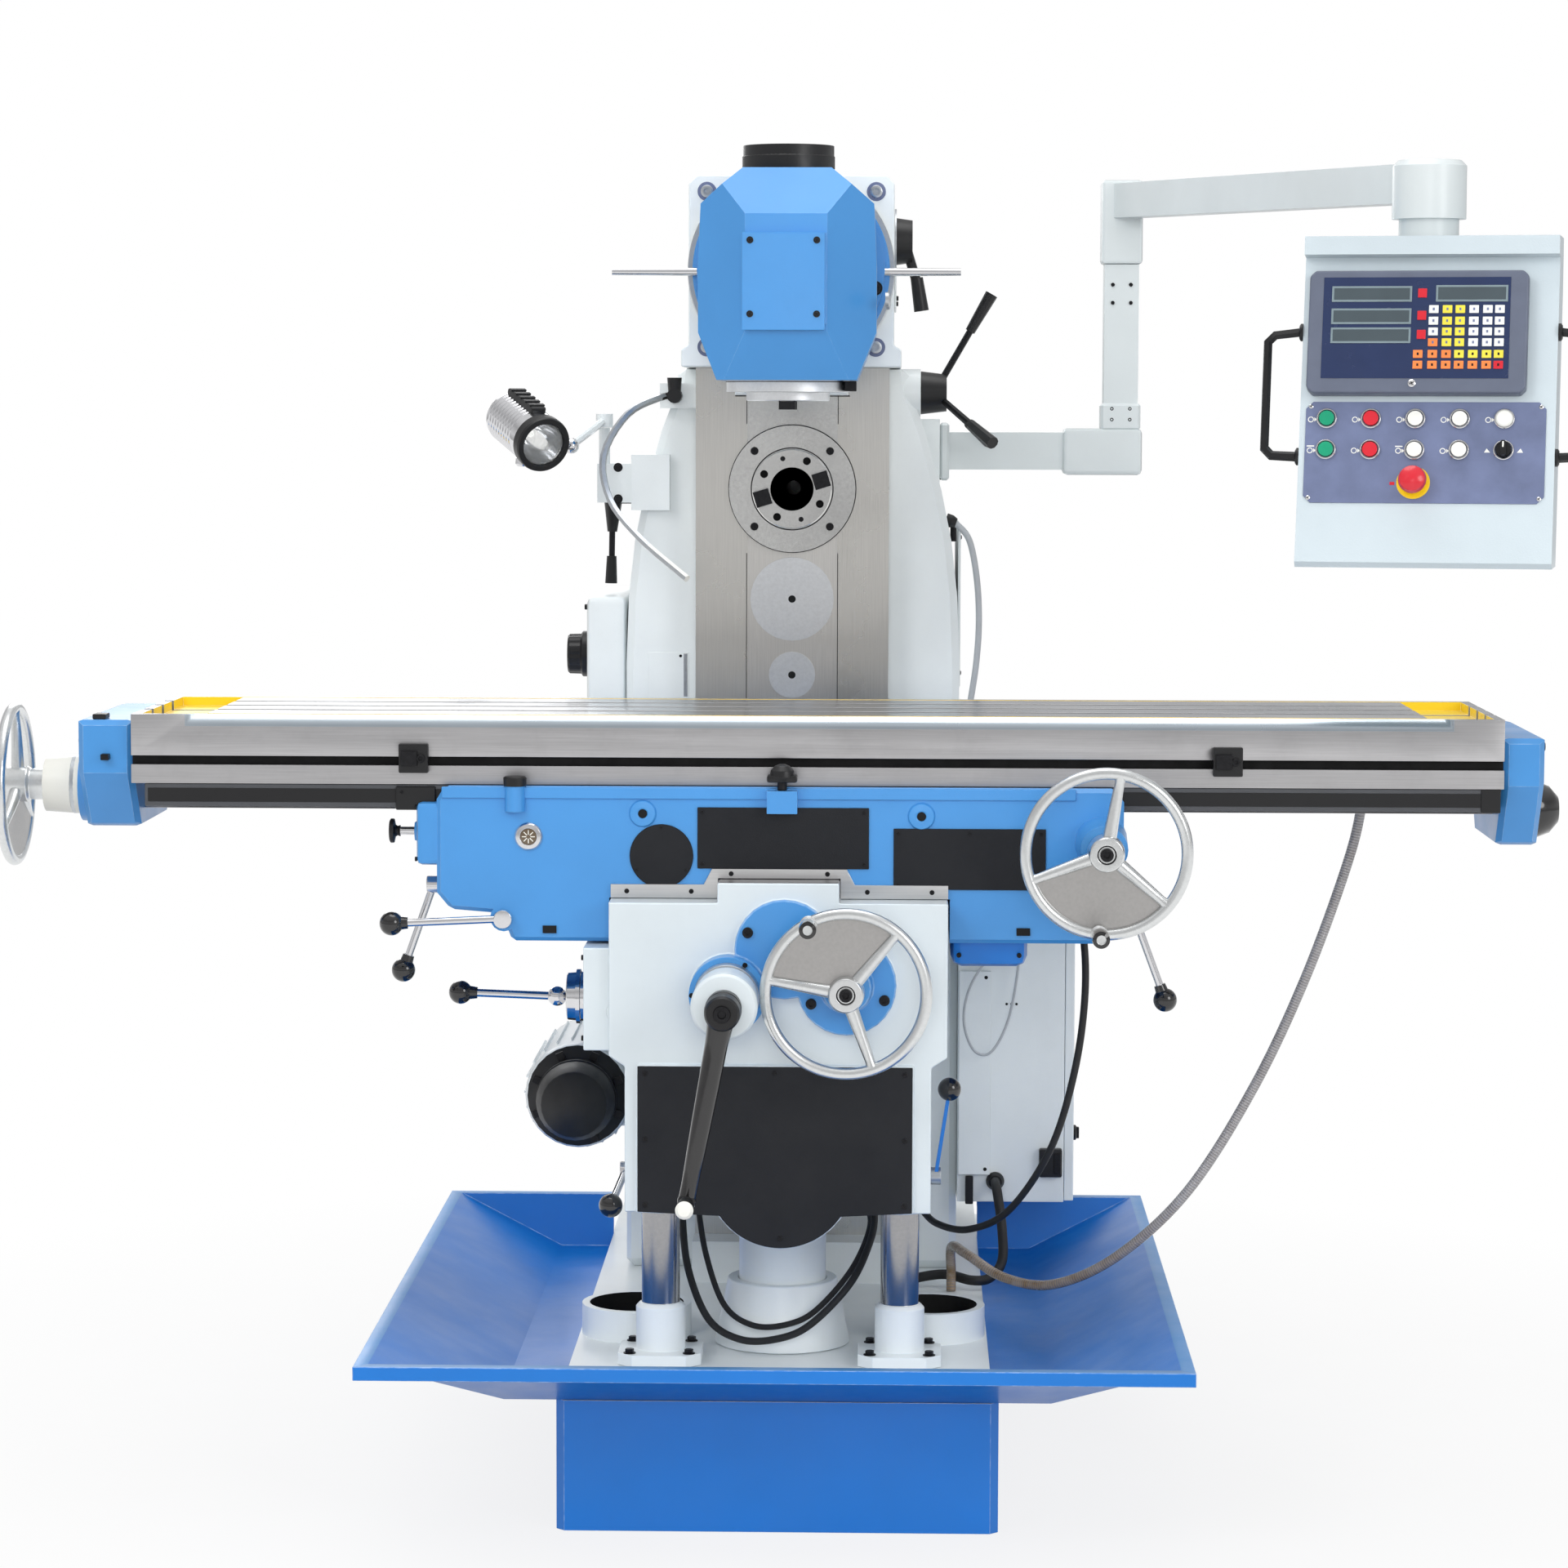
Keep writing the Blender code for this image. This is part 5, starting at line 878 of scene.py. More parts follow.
    # speed box: dial plate, marks and screws
    b = Build()
    b.bezel(0.041, 0.060, 0.002, (-0.3382, 0.2, 1.227), LEFT, SATIN, 72,
            0.0004)
    for i in range(19):
        a = math.radians(-45 + i * 15)
        mark = Matrix.Translation((-0.3402, 0.2, 1.227)) @ Matrix.Rotation(a, 4, "X")
        b.box((-0.0006, 0.0455, -0.0006), (0.0002, 0.0530 if i % 2 else 0.0560, 0.0006), SHADE_AND_MARK_BLACK, 0, mark)
    for y in (0.090, 0.410):
        for z in (0.970, 1.14, 1.310):
            b.cap_screw((-0.3382, y, z), LEFT, 0.0045)
    b.emit("speed_plate", "machine", slot="cast_pale")
    k = Build()
    k.lathe([(0, 0), (0.038, 0), (0.038, 0.010), (0.0335, 0.013), (0.033, 0.032), (0.030, 0.035), (0.012, 0.0352),
             (0.011, 0.0335), (0, 0.0335)], (-0.3425, 0.2, 1.227), LEFT, BLACK, 96, 0.0008,
            bumps=lambda a, h: 1 - (0.045 * max(0, math.cos(10 * a)) if 0.012 < h < 0.034 else 0))
    k.box((-0.3782, 0.1992, 1.242), (-0.3772, 0.2008, 1.258), WHITE, 0)
    k.emit("speed_knob", "speed_dial", ["speed_dial"], "black_plastic")


def head_details():
    cad("head_housing", BLUE, 0.0018, lambda c, n: BLACK if c.z > 1.9995 else DISC if c.z < 1.6775 else
        CHROME if abs(c.x) > 0.163 else SATIN if c.y > -0.1025 and n.y > 0.5 else None)
    cad("vertical_spindle", DISC, 0.0006, nose_zone)
    b = Build()
    for x in (-0.054, 0.0465):
        for z in (1.7766, 1.887):
            b.cap_screw((x, -0.4607, z), FRONT, 0.0052, BLACK, 0.0022)
    b.lathe([(0.1478, 0.0005), (0.1562, 0.0005), (0.1562, 0.0150), (0.1550, 0.0165), (0.1478, 0.0165)],
            (0, -0.1008, SWIVEL_Z), FRONT, BLUE, 128)
    b.lathe([(0.1560, 0.0005), (0.1640, 0.0005), (0.1640, 0.0095), (0.1625, 0.0110), (0.1560, 0.0110)],
            (0, -0.1008, SWIVEL_Z), FRONT, SATIN, 128)
    b.bezel(0.0945, 0.0960, 0.0012, (0, -0.30, 1.6765), DOWN, OXIDE, 96)
    for i in range(-45, 46, 5):
        turn = Matrix.Translation((0, -0.1015, SWIVEL_Z)) @ Matrix.Rotation(math.radians(i), 4, "Y")
        b.box((-0.0004, -0.0101, 0.1590 if i % 15 else 0.1572), (0.0004, -0.0095, 0.1622), OXIDE, 0, turn)
    for x, z in ring_of(3, 0.136, -12)[:1] + [(-0.133, -0.028)]:
        b.hex_bolt((x, -0.1502, SWIVEL_Z + z), FRONT, 0.0085, OXIDE, 0.009)
    b.lathe([(0.0712, 0.0), (0.0712, 0.018), (0.0700, 0.0195), (0.0700, 0.0)], (0, -0.30, 2.0012), UP, BLACK, 120,
            bumps=lambda a, h: 1 - 0.010 * (0.5 + 0.5 * math.cos(60 * a)))
    b.box((-0.0665, -0.4608, 1.7520), (0.0590, -0.4560, 1.8990), BLUE, 0.0022)
    b.box((0.088, -0.352, 1.6615), (0.106, -0.334, 1.6772), OXIDE, 0.001)
    for y in (-0.40, -0.20):
        b.lathe([(0, 0), (0.011, 0), (0.011, 0.005), (0.008, 0.007), (0, 0.007)],
                (0.1495 if y < -0.3 else 0.1505, y, 1.80),
                RIGHT, SATIN, 32)
    b.emit("head_fittings", "head", slot="black_plastic")


def ram_details():
    cad("ram", PALE, 0.003)
    b = Build()
    for x in (-0.134, 0.134):
        for z in (1.732, 1.977):
            b.lathe([(0, 0), (0.0150, 0), (0.0150, 0.0006), (0.0136, 0.0008), (0.0136, 0.0003), (0, 0.0003)],
                    (x, -0.1003, z), FRONT, GREY, 40)
            b.cap_screw((x, -0.1005, z), FRONT, 0.0098, SATIN, 0.006)
    for y in (0.15, 0.60):
        b.lathe([(0, 0), (0.016, 0), (0.016, 0.006), (0.010, 0.010), (0, 0.010)], (0, y, 2.0028), UP, OXIDE, 32)
    b.box((0.1632, 0.12, 1.800), (0.1665, 0.52, 1.940), PALE, 0.0015)
    b.box((-0.1665, 0.12, 1.800), (-0.1632, 0.52, 1.940), PALE, 0.0015)
    for s in (-1, 1):
        for y in (0.135, 0.505):
            for z in (1.815, 1.925):
                b.cap_screw((s * 0.1664, y, z), (s, 0, 0), 0.0040)
    b.bezel(0.040, 0.052, 0.003, (0.1633, 0.02, 1.903), RIGHT, SATIN, 56, 0.0004)
    b.emit("ram_fittings", "ram", slot="cast_pale")
    cad("head_speed_lever", BLACK, 0.0012)
    cad("ram_capstan", BLACK, 0.0012, lambda c, n: OXIDE if 0.035 < (V((c.y - 0.095, c.z - 1.661))).length < 0.101
        else None)
    cad("gear_shift_lever", BLACK, 0.0008, lambda c, n: OXIDE if 1.393 < c.z < 1.432 else None)


def spot_lamp():
    cad("lamp_arm", CHROME, 0.0006, lambda c, n: PALE if c.z > 1.592 and c.y > -0.05 else None)
    aim = V((0.47, -0.82, -0.33)).normalized()
    at = V((-0.418, -0.12, 1.598))
    place = Matrix.Translation(at) @ facing(aim)
    b = Build(place)
    up = UP
    b.lathe([(0, -0.098), (0.014, -0.098), (0.022, -0.092), (0.026, -0.082), (0.034, -0.078), (0.0405, -0.071),
             (0.042, -0.064)] + [p for i in range(9) for p in ((0.042, -0.060 + 0.010 * i),
                                                               (0.0407, -0.0585 + 0.010 * i),
             (0.0407, -0.0535 + 0.010 * i), (0.042, -0.052 + 0.010 * i))] + [(0.042, 0.040), (0.0418, 0.048)],
            (0, 0, 0), up, CHROME, 72, 0.0004)
    b.lathe([(0.0418, 0.044), (0.0445, 0.046), (0.0448, 0.062), (0.0435, 0.066), (0.0350, 0.066), (0.0340, 0.060),
             (0.0340, 0.050)], (0, 0, 0), up, BLACK, 72, 0.0006)
    b.lathe([(0.0345, 0.058), (0.030, 0.036), (0.022, 0.014), (0.012, 0.004), (0.0085, 0.002), (0.0085, -0.006),
             (0, -0.006)], (0, 0, 0), up, CHROME, 64)
    b.lathe([(0, 0.0), (0.0055, 0.0), (0.0060, 0.012), (0.0045, 0.017), (0, 0.0185)], (0, 0, 0), up, LIT, 28)
    b.lathe([(0, 0.0585), (0.0338, 0.0585), (0.0338, 0.0605), (0, 0.0620)], (0, 0, 0), up, GLASS, 64)
    side = place.inverted() @ (at + V(UP)) - V((0, 0, 0))
    side.z = 0
    top = side.normalized()
    turn = Matrix.Rotation(math.atan2(top.y, top.x), 4, "Z")
    b.box((0.0385, -0.013, -0.066), (0.0500, 0.013, 0.030), BLACK, 0.003, turn)
    for i in range(5):
        b.box((0.0490, -0.0135, -0.058 + 0.018 * i), (0.0520, 0.0135, -0.050 + 0.018 * i), BLACK, 0.001, turn)
    b.place = Matrix.Identity(4)
    b.bar((-0.3655, -0.075, 1.575), (-0.405, -0.085, 1.588), 0.0075, CHROME)
    b.bar((-0.3662, -0.075, 1.575), (-0.380, -0.077, 1.578), 0.0125, SATIN)
    b.lathe([(0, 0), (0.012, 0), (0.013, 0.010), (0.009, 0.014), (0, 0.014)], (-0.425, -0.112, 1.556), DOWN, CHROME,
            36, 0.001)
    b.emit("lamp_reflector", "lamp_head", ["lamp_head"], "chrome")


def nozzle():
    cad("coolant_gooseneck", SATIN, 0.0005, lambda c, n: BLACK if c.z > 1.642 and c.y > -0.020 else
        WHITE if c.z < 1.425 else None)


def wheel(name, node, centre, direction, spokes, handle, web, shaft):
    place = Matrix.Translation(centre) @ facing(direction)
    b = Build(place)
    mid, thick = 0.1145, 0.0085
    ring = [(mid + thick * math.cos(2 * math.pi * i / 20), thick * math.sin(2 * math.pi * i / 20)) for i in range(21)]
    b.lathe(ring, (0, 0, 0), UP, ALLOY, 144)
    b.lathe([(0, -shaft), (0.0235, -shaft), (0.0235, -0.024), (0.027, -0.020), (0.0255, 0.012), (0.0235, 0.016),
             (0.0135, 0.016), (0.0125, 0.0125), (0, 0.0125)], (0, 0, 0), UP, ALLOY, 56, 0.0012)
    b.cap_screw((0, 0, 0.0125), UP, 0.0095, OXIDE, 0.006)
    for i in range(3):
        a = math.radians(spokes + 120 * i)
        u, v = V((math.cos(a), math.sin(a), 0)), V((-math.sin(a), math.cos(a), 0))
        path = [V((0, 0, -0.004)) + u * (0.018 + (mid - 0.018) * k / 8) + V((0, 0, 0.004)) * (k / 8) ** 2
                for k in range(9)]
        b.tube(path, [0.0105 - 0.0035 * min(1, k / 7) + 0.0016 * (k == 8) for k in range(9)], ALLOY, 16)
    first = math.radians(web - 60)
    outline = [(0.012 * math.cos(first + math.pi / 3), 0.012 * math.sin(first + math.pi / 3))]
    outline += [(0.110 * math.cos(first + 2 * math.pi / 3 * i / 24), 0.110 * math.sin(first + 2 * math.pi / 3 * i / 24))
                for i in range(25)]
    b.slab(outline, "Z", -0.0055, -0.0015, WEB, 0)
    a = math.radians(handle)
    x, y = (mid - 0.001) * math.cos(a), (mid - 0.001) * math.sin(a)
    b.lathe([(0, -0.002), (0.0125, 0.002), (0.0125, 0.008), (0.0085, 0.011), (0.0090, 0.020), (0.0120, 0.034),
             (0.0125, 0.052), (0.0112, 0.070), (0.0100, 0.076), (0.0066, 0.0780), (0.0060, 0.0770), (0, 0.0770)],
            (x, y, 0), UP, ALLOY, 40, 0.0006)
    b.lathe([(0.0069, 0), (0.0122, -0.002), (0.0128, -0.012), (0.0128, -0.020), (0.0124, -0.020)], (x, y, 0.0782),
            UP, GLOSS, 40)
    b.emit(name, BODY_OF[node], [node], "alloy")


def wheels():
    wheel("cross_wheel", "cross_handwheel", (0.099, -0.90, 0.806), FRONT, 50, 118, 110, 0.0575)
    wheel("front_wheel", "front_handwheel", (0.467, -0.90, 1.008), FRONT, 80, 265, 260, 0.0575)
    wheel("left_wheel", "left_handwheel", (-1.160, -0.52, 1.0676), LEFT, 90, 30, 270, 0.047)


def ball_lever(name, node, hub, rod, ball, body_mat=None):
    """Turned hub, chrome rod and black ball; hub is (start, end, radius)."""
    b = Build()
    start, end, r = hub
    b.bar(start, end, r, body_mat or CHROME, soft=0.0015)
    b.bar(rod, ball, 0.0056, CHROME)
    d = (V(ball) - V(rod)).normalized()
    b.bar(V(ball) - d * 0.024, V(ball) - d * 0.010, 0.0085, GLOSS, 0.0100)
    b.ball(ball, 0.0175, GLOSS, 40)
    b.emit(name, BODY_OF[node], [node], "black_plastic")


def levers():
    ball_lever("lever_a", "saddle_lever_a", ((-0.402, -0.7405, 0.894), (-0.402, -0.763, 0.894), 0.0135),
               (-0.402, -0.753, 0.894), (-0.5640, -0.760, 0.887))
    ball_lever("lever_b", "saddle_lever_b", ((-0.5005, -0.66, 0.934), (-0.5225, -0.66, 0.934), 0.0130),
               (-0.5125, -0.66, 0.934), (-0.5580, -0.66, 0.806))
    ball_lever("lever_c", "saddle_lever_c", ((0.5055, -0.66, 0.905), (0.527, -0.66, 0.905), 0.0130),
               (0.516, -0.66, 0.905), (0.567, -0.66, 0.768), BLUE)
    p = V((0.2305, -0.64, 0.500))
    b = Build()
    b.bar((0.2226, -0.64, 0.500), (0.2385, -0.64, 0.500), 0.013, SATIN, soft=0.001)
    tip = p + V((0.020, 0, 0.130))
    side = V(BACK)
    along = (tip - p).normalized()
    wide = [(p + along * 0.004, 0.0105), (p + along * 0.060, 0.0085), (p + along * 0.118, 0.0050)]
    across = along.cross(side).normalized()
    bm = bmesh.new()
    rings = []
    for at, w in wide:
        rings.append([bm.verts.new(at + side * w * i + across * 0.0026 * j)
                      for i, j in ((-1, -1), (1, -1), (1, 1), (-1, 1))])
    for lower, upper in zip(rings, rings[1:]):
        for i in range(4):
            bm.faces.new([lower[i], lower[(i + 1) % 4], upper[(i + 1) % 4], upper[i]])
    bm.faces.new(rings[0][::-1])
    bm.faces.new(rings[-1])
    b.take(bm, DEEP)
    b.ball(tip, 0.0175, GLOSS, 40)
    b.emit("clamp_right", "post_clamp_right", ["post_clamp_right"], "black_plastic")
    p = V((-0.2305, -0.64, 0.505))
    ball_lever("clamp_left", "post_clamp_left", ((-0.2226, -0.64, 0.505), (-0.2385, -0.64, 0.505), 0.013), p,
               p + V((-0.014, -0.125, -0.030)))
    b = Build()
    b.ball((-0.3335, -0.62, 0.763), 0.0145, CHROME)
    b.bar((-0.3335, -0.62, 0.763), (-0.470, -0.62, 0.768), 0.0060, CHROME)
    b.bar((-0.452, -0.62, 0.7673), (-0.466, -0.62, 0.7678), 0.0085, GLOSS, 0.0105)
    b.ball((-0.4775, -0.62, 0.768), 0.0175, GLOSS, 40)
    b.emit("joystick", "feed_joystick", ["feed_joystick"], "black_plastic")
    b = Build()
    b.bar((-0.5305, -0.69, 1.016), (-0.562, -0.69, 1.016), 0.0060, CHROME)
    b.lathe([(0, 0), (0.0085, 0), (0.0070, 0.004), (0.0090, 0.007), (0.0178, 0.009), (0.0180, 0.014), (0.0150, 0.0158),
             (0, 0.0160)], (-0.558, -0.69, 1.016), LEFT, BLACK, 40, 0.0008)
    b.emit("pump_knob", "lube_pump", ["lube_pump_knob"], "black_plastic")
    b = Build()
    b.bar((0.004, -0.75, 1.0836), (0.004, -0.75, 1.102), 0.007, OXIDE)
    b.lathe([(0, 0), (0.015, 0.001), (0.0185, 0.008), (0.0170, 0.017), (0.0110, 0.024), (0.0050, 0.0265), (0, 0.027)],
            (0.004, -0.7505, 1.0950), UP, BLACK, 40, 0.001)
    b.box((-0.018, -0.7655, 1.0955), (0.026, -0.7355, 1.1060), BLACK, 0.003)
    b.emit("trip_grip", "trip_lever", ["trip_lever"], "black_plastic")


def knee_details():
    # the knee takes the toned-down pale enamel: painted shade
    cad("knee", SHADED_PALE, 0.003, lambda c, n: CHROME if c.x < -0.2832 and c.z > 0.70 else BLUE if
        (c.y < -0.8052 and c.z > 0.72 and not (c.y > -0.8055 and n.y < -0.9 and not pear(c))) else
        SIDE if c.z > 0.9245 and c.y > -0.79 else None)
    b = Build()
    lobe = [(0.004 + 0.106 * math.cos(math.radians(a)), 0.528 + 0.106 * math.sin(math.radians(a)))
            for a in range(214, 327, 4)]
    outline = [(-0.203, 0.687), (-0.203, 0.474), lobe[0], *lobe[1:-1], lobe[-1], (0.195, 0.474), (0.195, 0.687)]
    b.slab(outline, "Y", -0.8088, -0.8052, SOOT, 0.0010)
    for x, z in ((-0.192, 0.676), (0.184, 0.676), (-0.192, 0.484), (0.184, 0.484), (-0.004, 0.678), (0.184, 0.580),
                 (-0.192, 0.580), (0.004, 0.436)):
        b.cap_screw((x, -0.8087, z), FRONT, 0.0036, OXIDE, 0.0020)
    for x, z in ((-0.0436, 0.883), (0.048, 0.780), (0.1537, 0.7856)):
        b.cap_screw((x, -0.8121, z), FRONT, 0.0078, OXIDE, 0.0050)
    b.lathe([(0, 0), (0.0150, 0), (0.0140, 0.0030), (0.0105, 0.0036), (0.0100, 0.0010), (0, 0.0010)],
            (-0.235, -0.7853, 0.763), FRONT, SHADED_PALE, 40, 0.0006)
    b.lathe([(0, 0), (0.0075, 0), (0.0070, 0.0035), (0, 0.0040)], (-0.235, -0.7862, 0.763), FRONT, SATIN, 6)
    b.bezel(0.0385, 0.0405, 0.006, (-0.2980, -0.62, 0.763), LEFT, CHROME, 48)
    for s in (-1, 1):
        for y in (-0.72, -0.55, -0.30, -0.12):
            b.cap_screw((s * 0.2453, y, 0.905), (s, 0, 0), 0.0045)
    # screws of the feed gearbox lid, on the left side
    for y, z in ((-0.770, 0.722), (-0.770, 0.840), (-0.465, 0.722), (-0.465, 0.840)):
        b.cap_screw((-0.2832, y, z), LEFT, 0.0040)
    b.emit("knee_fittings", "knee", slot="black_plastic")
    cad("feed_motor", PALE, 0.002, lambda c, n: RUBBER if c.y < -0.4095 else None)
    b = Build(Matrix.Translation((-0.318, -0.10, 0.580)) @ facing(FRONT))
    for i in range(22):
        turn = Matrix.Rotation(2 * math.pi * i / 22, 4, "Z")
        b.box((0.0810, -0.0014, 0.045), (0.0862, 0.0014, 0.275), PALE, 0.0005, turn)
    for i in range(8):
        turn = Matrix.Rotation(2 * math.pi * (i + 0.5) / 8, 4, "Z")
        b.box((0.0610, -0.0060, 0.3205), (0.0740, 0.0060, 0.3245), OXIDE, 0.0006, turn)
        b.cap_screw(turn @ V((0.0690, 0, 0.3175)), UP, 0.0032, SATIN, 0.0040)
    b.lathe([(0.0602, 0.345), (0.0618, 0.347), (0.0618, 0.352), (0.0602, 0.354)], (0, 0, 0), UP, BLACK, 64)
    b.emit("feed_motor_ribs", "knee", slot="cast_pale")
    b = Build()
    x, z = -0.072, 0.795
    for r0, r1, y0, y1, mat in ((0.0555, 0.0555, -0.8352, -0.8400, BLUE), (0.0480, 0.0465, -0.8400, -0.8600, SATIN)):
        b.lathe([(0.026, 0), (r0, 0), (r1, y0 - y1), (0.026, y0 - y1)], (x, y0, z), FRONT, mat, 72, 0.0015)
    for u, w in ring_of(3, 0.0512, 60):
        b.cap_screw((x + u, -0.8400, z + w), FRONT, 0.0036, OXIDE, 0.0025)
    b.emit("crank_collar", "knee", slot="cast_blue")
    b = Build()
    b.lathe([(0, 0.036), (0.022, 0.036), (0.025, 0.030), (0.0262, 0.004), (0.0240, 0.001), (0.0240, -0.004),
             (0.0262, -0.007), (0.0250, -0.0450)], (x, -1.00, z), FRONT, BLACK, 72, 0.0008)
    b.lathe([(0.0250, -0.034), (0.0440, -0.036), (0.0475, -0.041), (0.0475, -0.052), (0.0460, -0.056),
             (0.0400, -0.058)], (x, -1.00, z), FRONT, SHADED_PALE, 72, 0.0012)
    b.lathe([(0.0400, -0.058), (0.0440, -0.060), (0.0460, -0.070), (0.0460, -0.120), (0.0300, -0.1640), (0, -0.1640)],
            (x, -1.00, z), FRONT, SHADED_PALE, 72, 0.001, bumps=lambda a, h: 1 - (0.02 * (math.cos(12 * a) > 0.2)
                                                                               if -0.112 < h < -0.072 else 0))
    b.lathe([(0, 0), (0.0125, 0), (0.0115, 0.0045), (0.0060, 0.0050), (0.0052, 0.0015), (0, 0.0015)], (x, -1.0355, z),
            FRONT, OXIDE, 36)
    foot = V((x - 0.050, -1.008, z - 0.268))
    hub = V((x, -1.002, z))
    line = [hub.lerp(foot, k / 12) for k in range(13)]
    b.tube(line, [0.0190, 0.0185, 0.0165, 0.0160, 0.0158, 0.0155, 0.0150, 0.0146, 0.0140, 0.0134, 0.0126, 0.0120,
                  0.0125],
           GLOSS, 28)
    b.ball(foot, 0.0135, GLOSS)
    b.lathe([(0, 0), (0.0122, 0.001), (0.0122, 0.010), (0.0090, 0.013), (0.0095, 0.020), (0.0118, 0.036),
             (0.0112, 0.060),
             (0.0095, 0.074), (0, 0.076)], (foot.x, -1.006, foot.z), FRONT, BLACK, 36, 0.0008)
    b.lathe([(0, 0), (0.0125, 0), (0.0128, 0.004), (0.0085, 0.0085), (0, 0.0090)], (foot.x, -1.0760, foot.z), FRONT,
            WHITE, 36, 0.0006)
    b.emit("crank_arm", "knee_crank", ["knee_crank"], "black_plastic")


def pear(c):
    a, d = V((0.009, 0.858)), V((0.099, 0.806))
    p = V((c.x, c.z))
    t = max(0.0, min(1.0, (p - a).dot(d - a) / (d - a).length_squared))
    return (p - a - t * (d - a)).length < 0.0725


def saddle_details():
    cad("saddle", BLUE, 0.003, lambda c, n: DEEP if 0.249 < c.x < 0.363 and c.z < 0.8585 else BLACK if
        c.z > 1.0872 and near(c, -0.385, 1.095, 0.02) and c.y < -0.72 else STRIP if c.z > 1.0860 and n.z > 0.9 and
        c.y > -0.72 else None)
    b = Build()
    y = -0.7403
    b.lathe([(0, 0), (0.0463, 0), (0.0463, 0.0022), (0.0455, 0.0030), (0, 0.0030)], (-0.1717, y, 0.986), FRONT, SOOT,
            72)
    for x, z in ring_of(3, 0.0415, 90):
        b.cap_screw((-0.1717 + x, y - 0.0029, 0.986 + z), FRONT, 0.0022, OXIDE, 0.0012)
    for x0, x1, z0, z1 in ((-0.1194, 0.1301, 0.9680, 1.0573), (0.1658, 0.3869, 0.9385, 1.0276)):
        b.box((x0, y - 0.0030, z0), (x1, y, z1), SOOT, 0.0010)
        for x in (x0 + 0.007, (x0 + x1) / 2, x1 - 0.007):
            for z in (z0 + 0.007, z1 - 0.007):
                if x != (x0 + x1) / 2 or z > z0 + 0.02:
                    b.cap_screw((x, y - 0.0029, z), FRONT, 0.0026, OXIDE, 0.0014)
    b.lathe([(0.0090, 0), (0.0205, 0), (0.0205, 0.0016), (0.0180, 0.0044), (0.0125, 0.0050), (0.0115, 0.0030)],
            (-0.3655, y, 1.0133), FRONT, CHROME, 48, 0.0004)
    b.lathe([(0, 0), (0.0122, 0), (0.0120, 0.0026), (0, 0.0030)], (-0.3655, y, 1.0133), FRONT, OILED, 40)
    for i in range(8):
        turn = Matrix.Translation((-0.3655, y - 0.0030, 1.0133)) @ Matrix.Rotation(i * math.pi / 4, 4, "Y")
        b.box((-0.0007, -0.0006, 0.0030), (0.0007, 0, 0.0095), CREAM, 0, turn)
    for x, z in ((-0.199, 1.0478), (0.2062, 1.0454)):
        b.lathe([(0.0062, 0), (0.0205, 0), (0.0180, 0.0045), (0.0085, 0.0052), (0.0062, 0.0040)], (x, y + 0.0008, z),
                FRONT, BLUE, 40, 0.001)
        # painted shade: a dark disc for the hole in each boss
        b.round(0.0066, 0.0042, (x, y, z), FRONT, SHADE_AND_MARK_BLACK, 28)
    outline = [(-0.2455, 0.925), (-0.2455, 0.945), (-0.110, 0.945), (-0.098, 0.968), (0.098, 0.968), (0.110, 0.945),
               (0.2455, 0.945), (0.2455, 0.925), (0.0888, 0.925), (0.0888, 0.954), (-0.0888, 0.954), (-0.0888, 0.925)]
    b.slab(outline, "Y", y - 0.0060, y, WIPER, 0.0007)
    b.slab([(x * 0.992, z - 0.0028 if z < 0.95 else z - 0.003) for x, z in
            ((-0.2455, 0.925), (-0.0888, 0.925), (-0.0888, 0.954), (0.0888, 0.954), (0.0888, 0.925), (0.2455, 0.925))]
           + [(0.2435, 0.9182), (0.0848, 0.9182), (0.0848, 0.9472), (-0.0848, 0.9472), (-0.0848, 0.9182),
              (-0.2435, 0.9182)], "Y", y - 0.0045, y - 0.0010, RUBBER, 0)
    for x, z in ((-0.222, 0.935), (-0.128, 0.935), (-0.070, 0.961), (0.070, 0.961), (0.128, 0.935), (0.222, 0.935)):
        b.cap_screw((x, y - 0.0059, z), FRONT, 0.0035, OXIDE, 0.0018)
    # painted shade: dark boxes for the two slots in the saddle front
    for x0, x1 in ((-0.345, -0.325), (0.345, 0.365)):
        b.box((x0, y - 0.0030, 0.8720), (x1, y, 0.8830), SHADE_AND_MARK_BLACK, 0.0005)
    for x in (-0.30, 0.30):
        b.cap_screw((x, y, 1.073), FRONT, 0.0034, BLUE, 0.0018)
    b.lathe([(0, 0), (0.0165, 0), (0.0165, 0.012), (0.0150, 0.014), (0, 0.014)], (-0.385, -0.742, 1.0872), UP,
            BLACK, 60, 0.0006, bumps=lambda a, h: 1 + 0.03 * math.cos(24 * a) * (0.001 < h < 0.0125))
    b.lathe([(0, 0), (0.0175, 0), (0.0150, 0.006), (0.0080, 0.007), (0, 0.007)], (-0.5302, -0.69, 1.016), LEFT,
            BLUE, 6, 0.0008)
    for yy in (-0.725, -0.655):
        for z in (0.978, 1.054):
            b.cap_screw((-0.5300, yy, z), LEFT, 0.0034)
    for x in (0.262, 0.350):
        b.cap_screw((x, -0.7152, 0.840), FRONT, 0.0036)
    b.box((-0.4920, -0.7438, 1.0690), (0.4300, -0.7390, 1.0858), BLUE, 0.0018)
    b.box((-0.4985, -0.60, 0.95), (-0.5012, -0.36, 1.05), BLUE, 0.0008)
    b.box((0.4988, -0.56, 0.95), (0.5015, -0.32, 1.05), BLUE, 0.0008)
    for s in (-1, 1):
        for yy in ((-0.59, -0.37) if s < 0 else (-0.55, -0.33)):
            for z in (0.96, 1.04):
                b.cap_screw((s * 0.5010, yy, z), (s, 0, 0), 0.0036)
    b.emit("saddle_fittings", "saddle", slot="black_plastic")


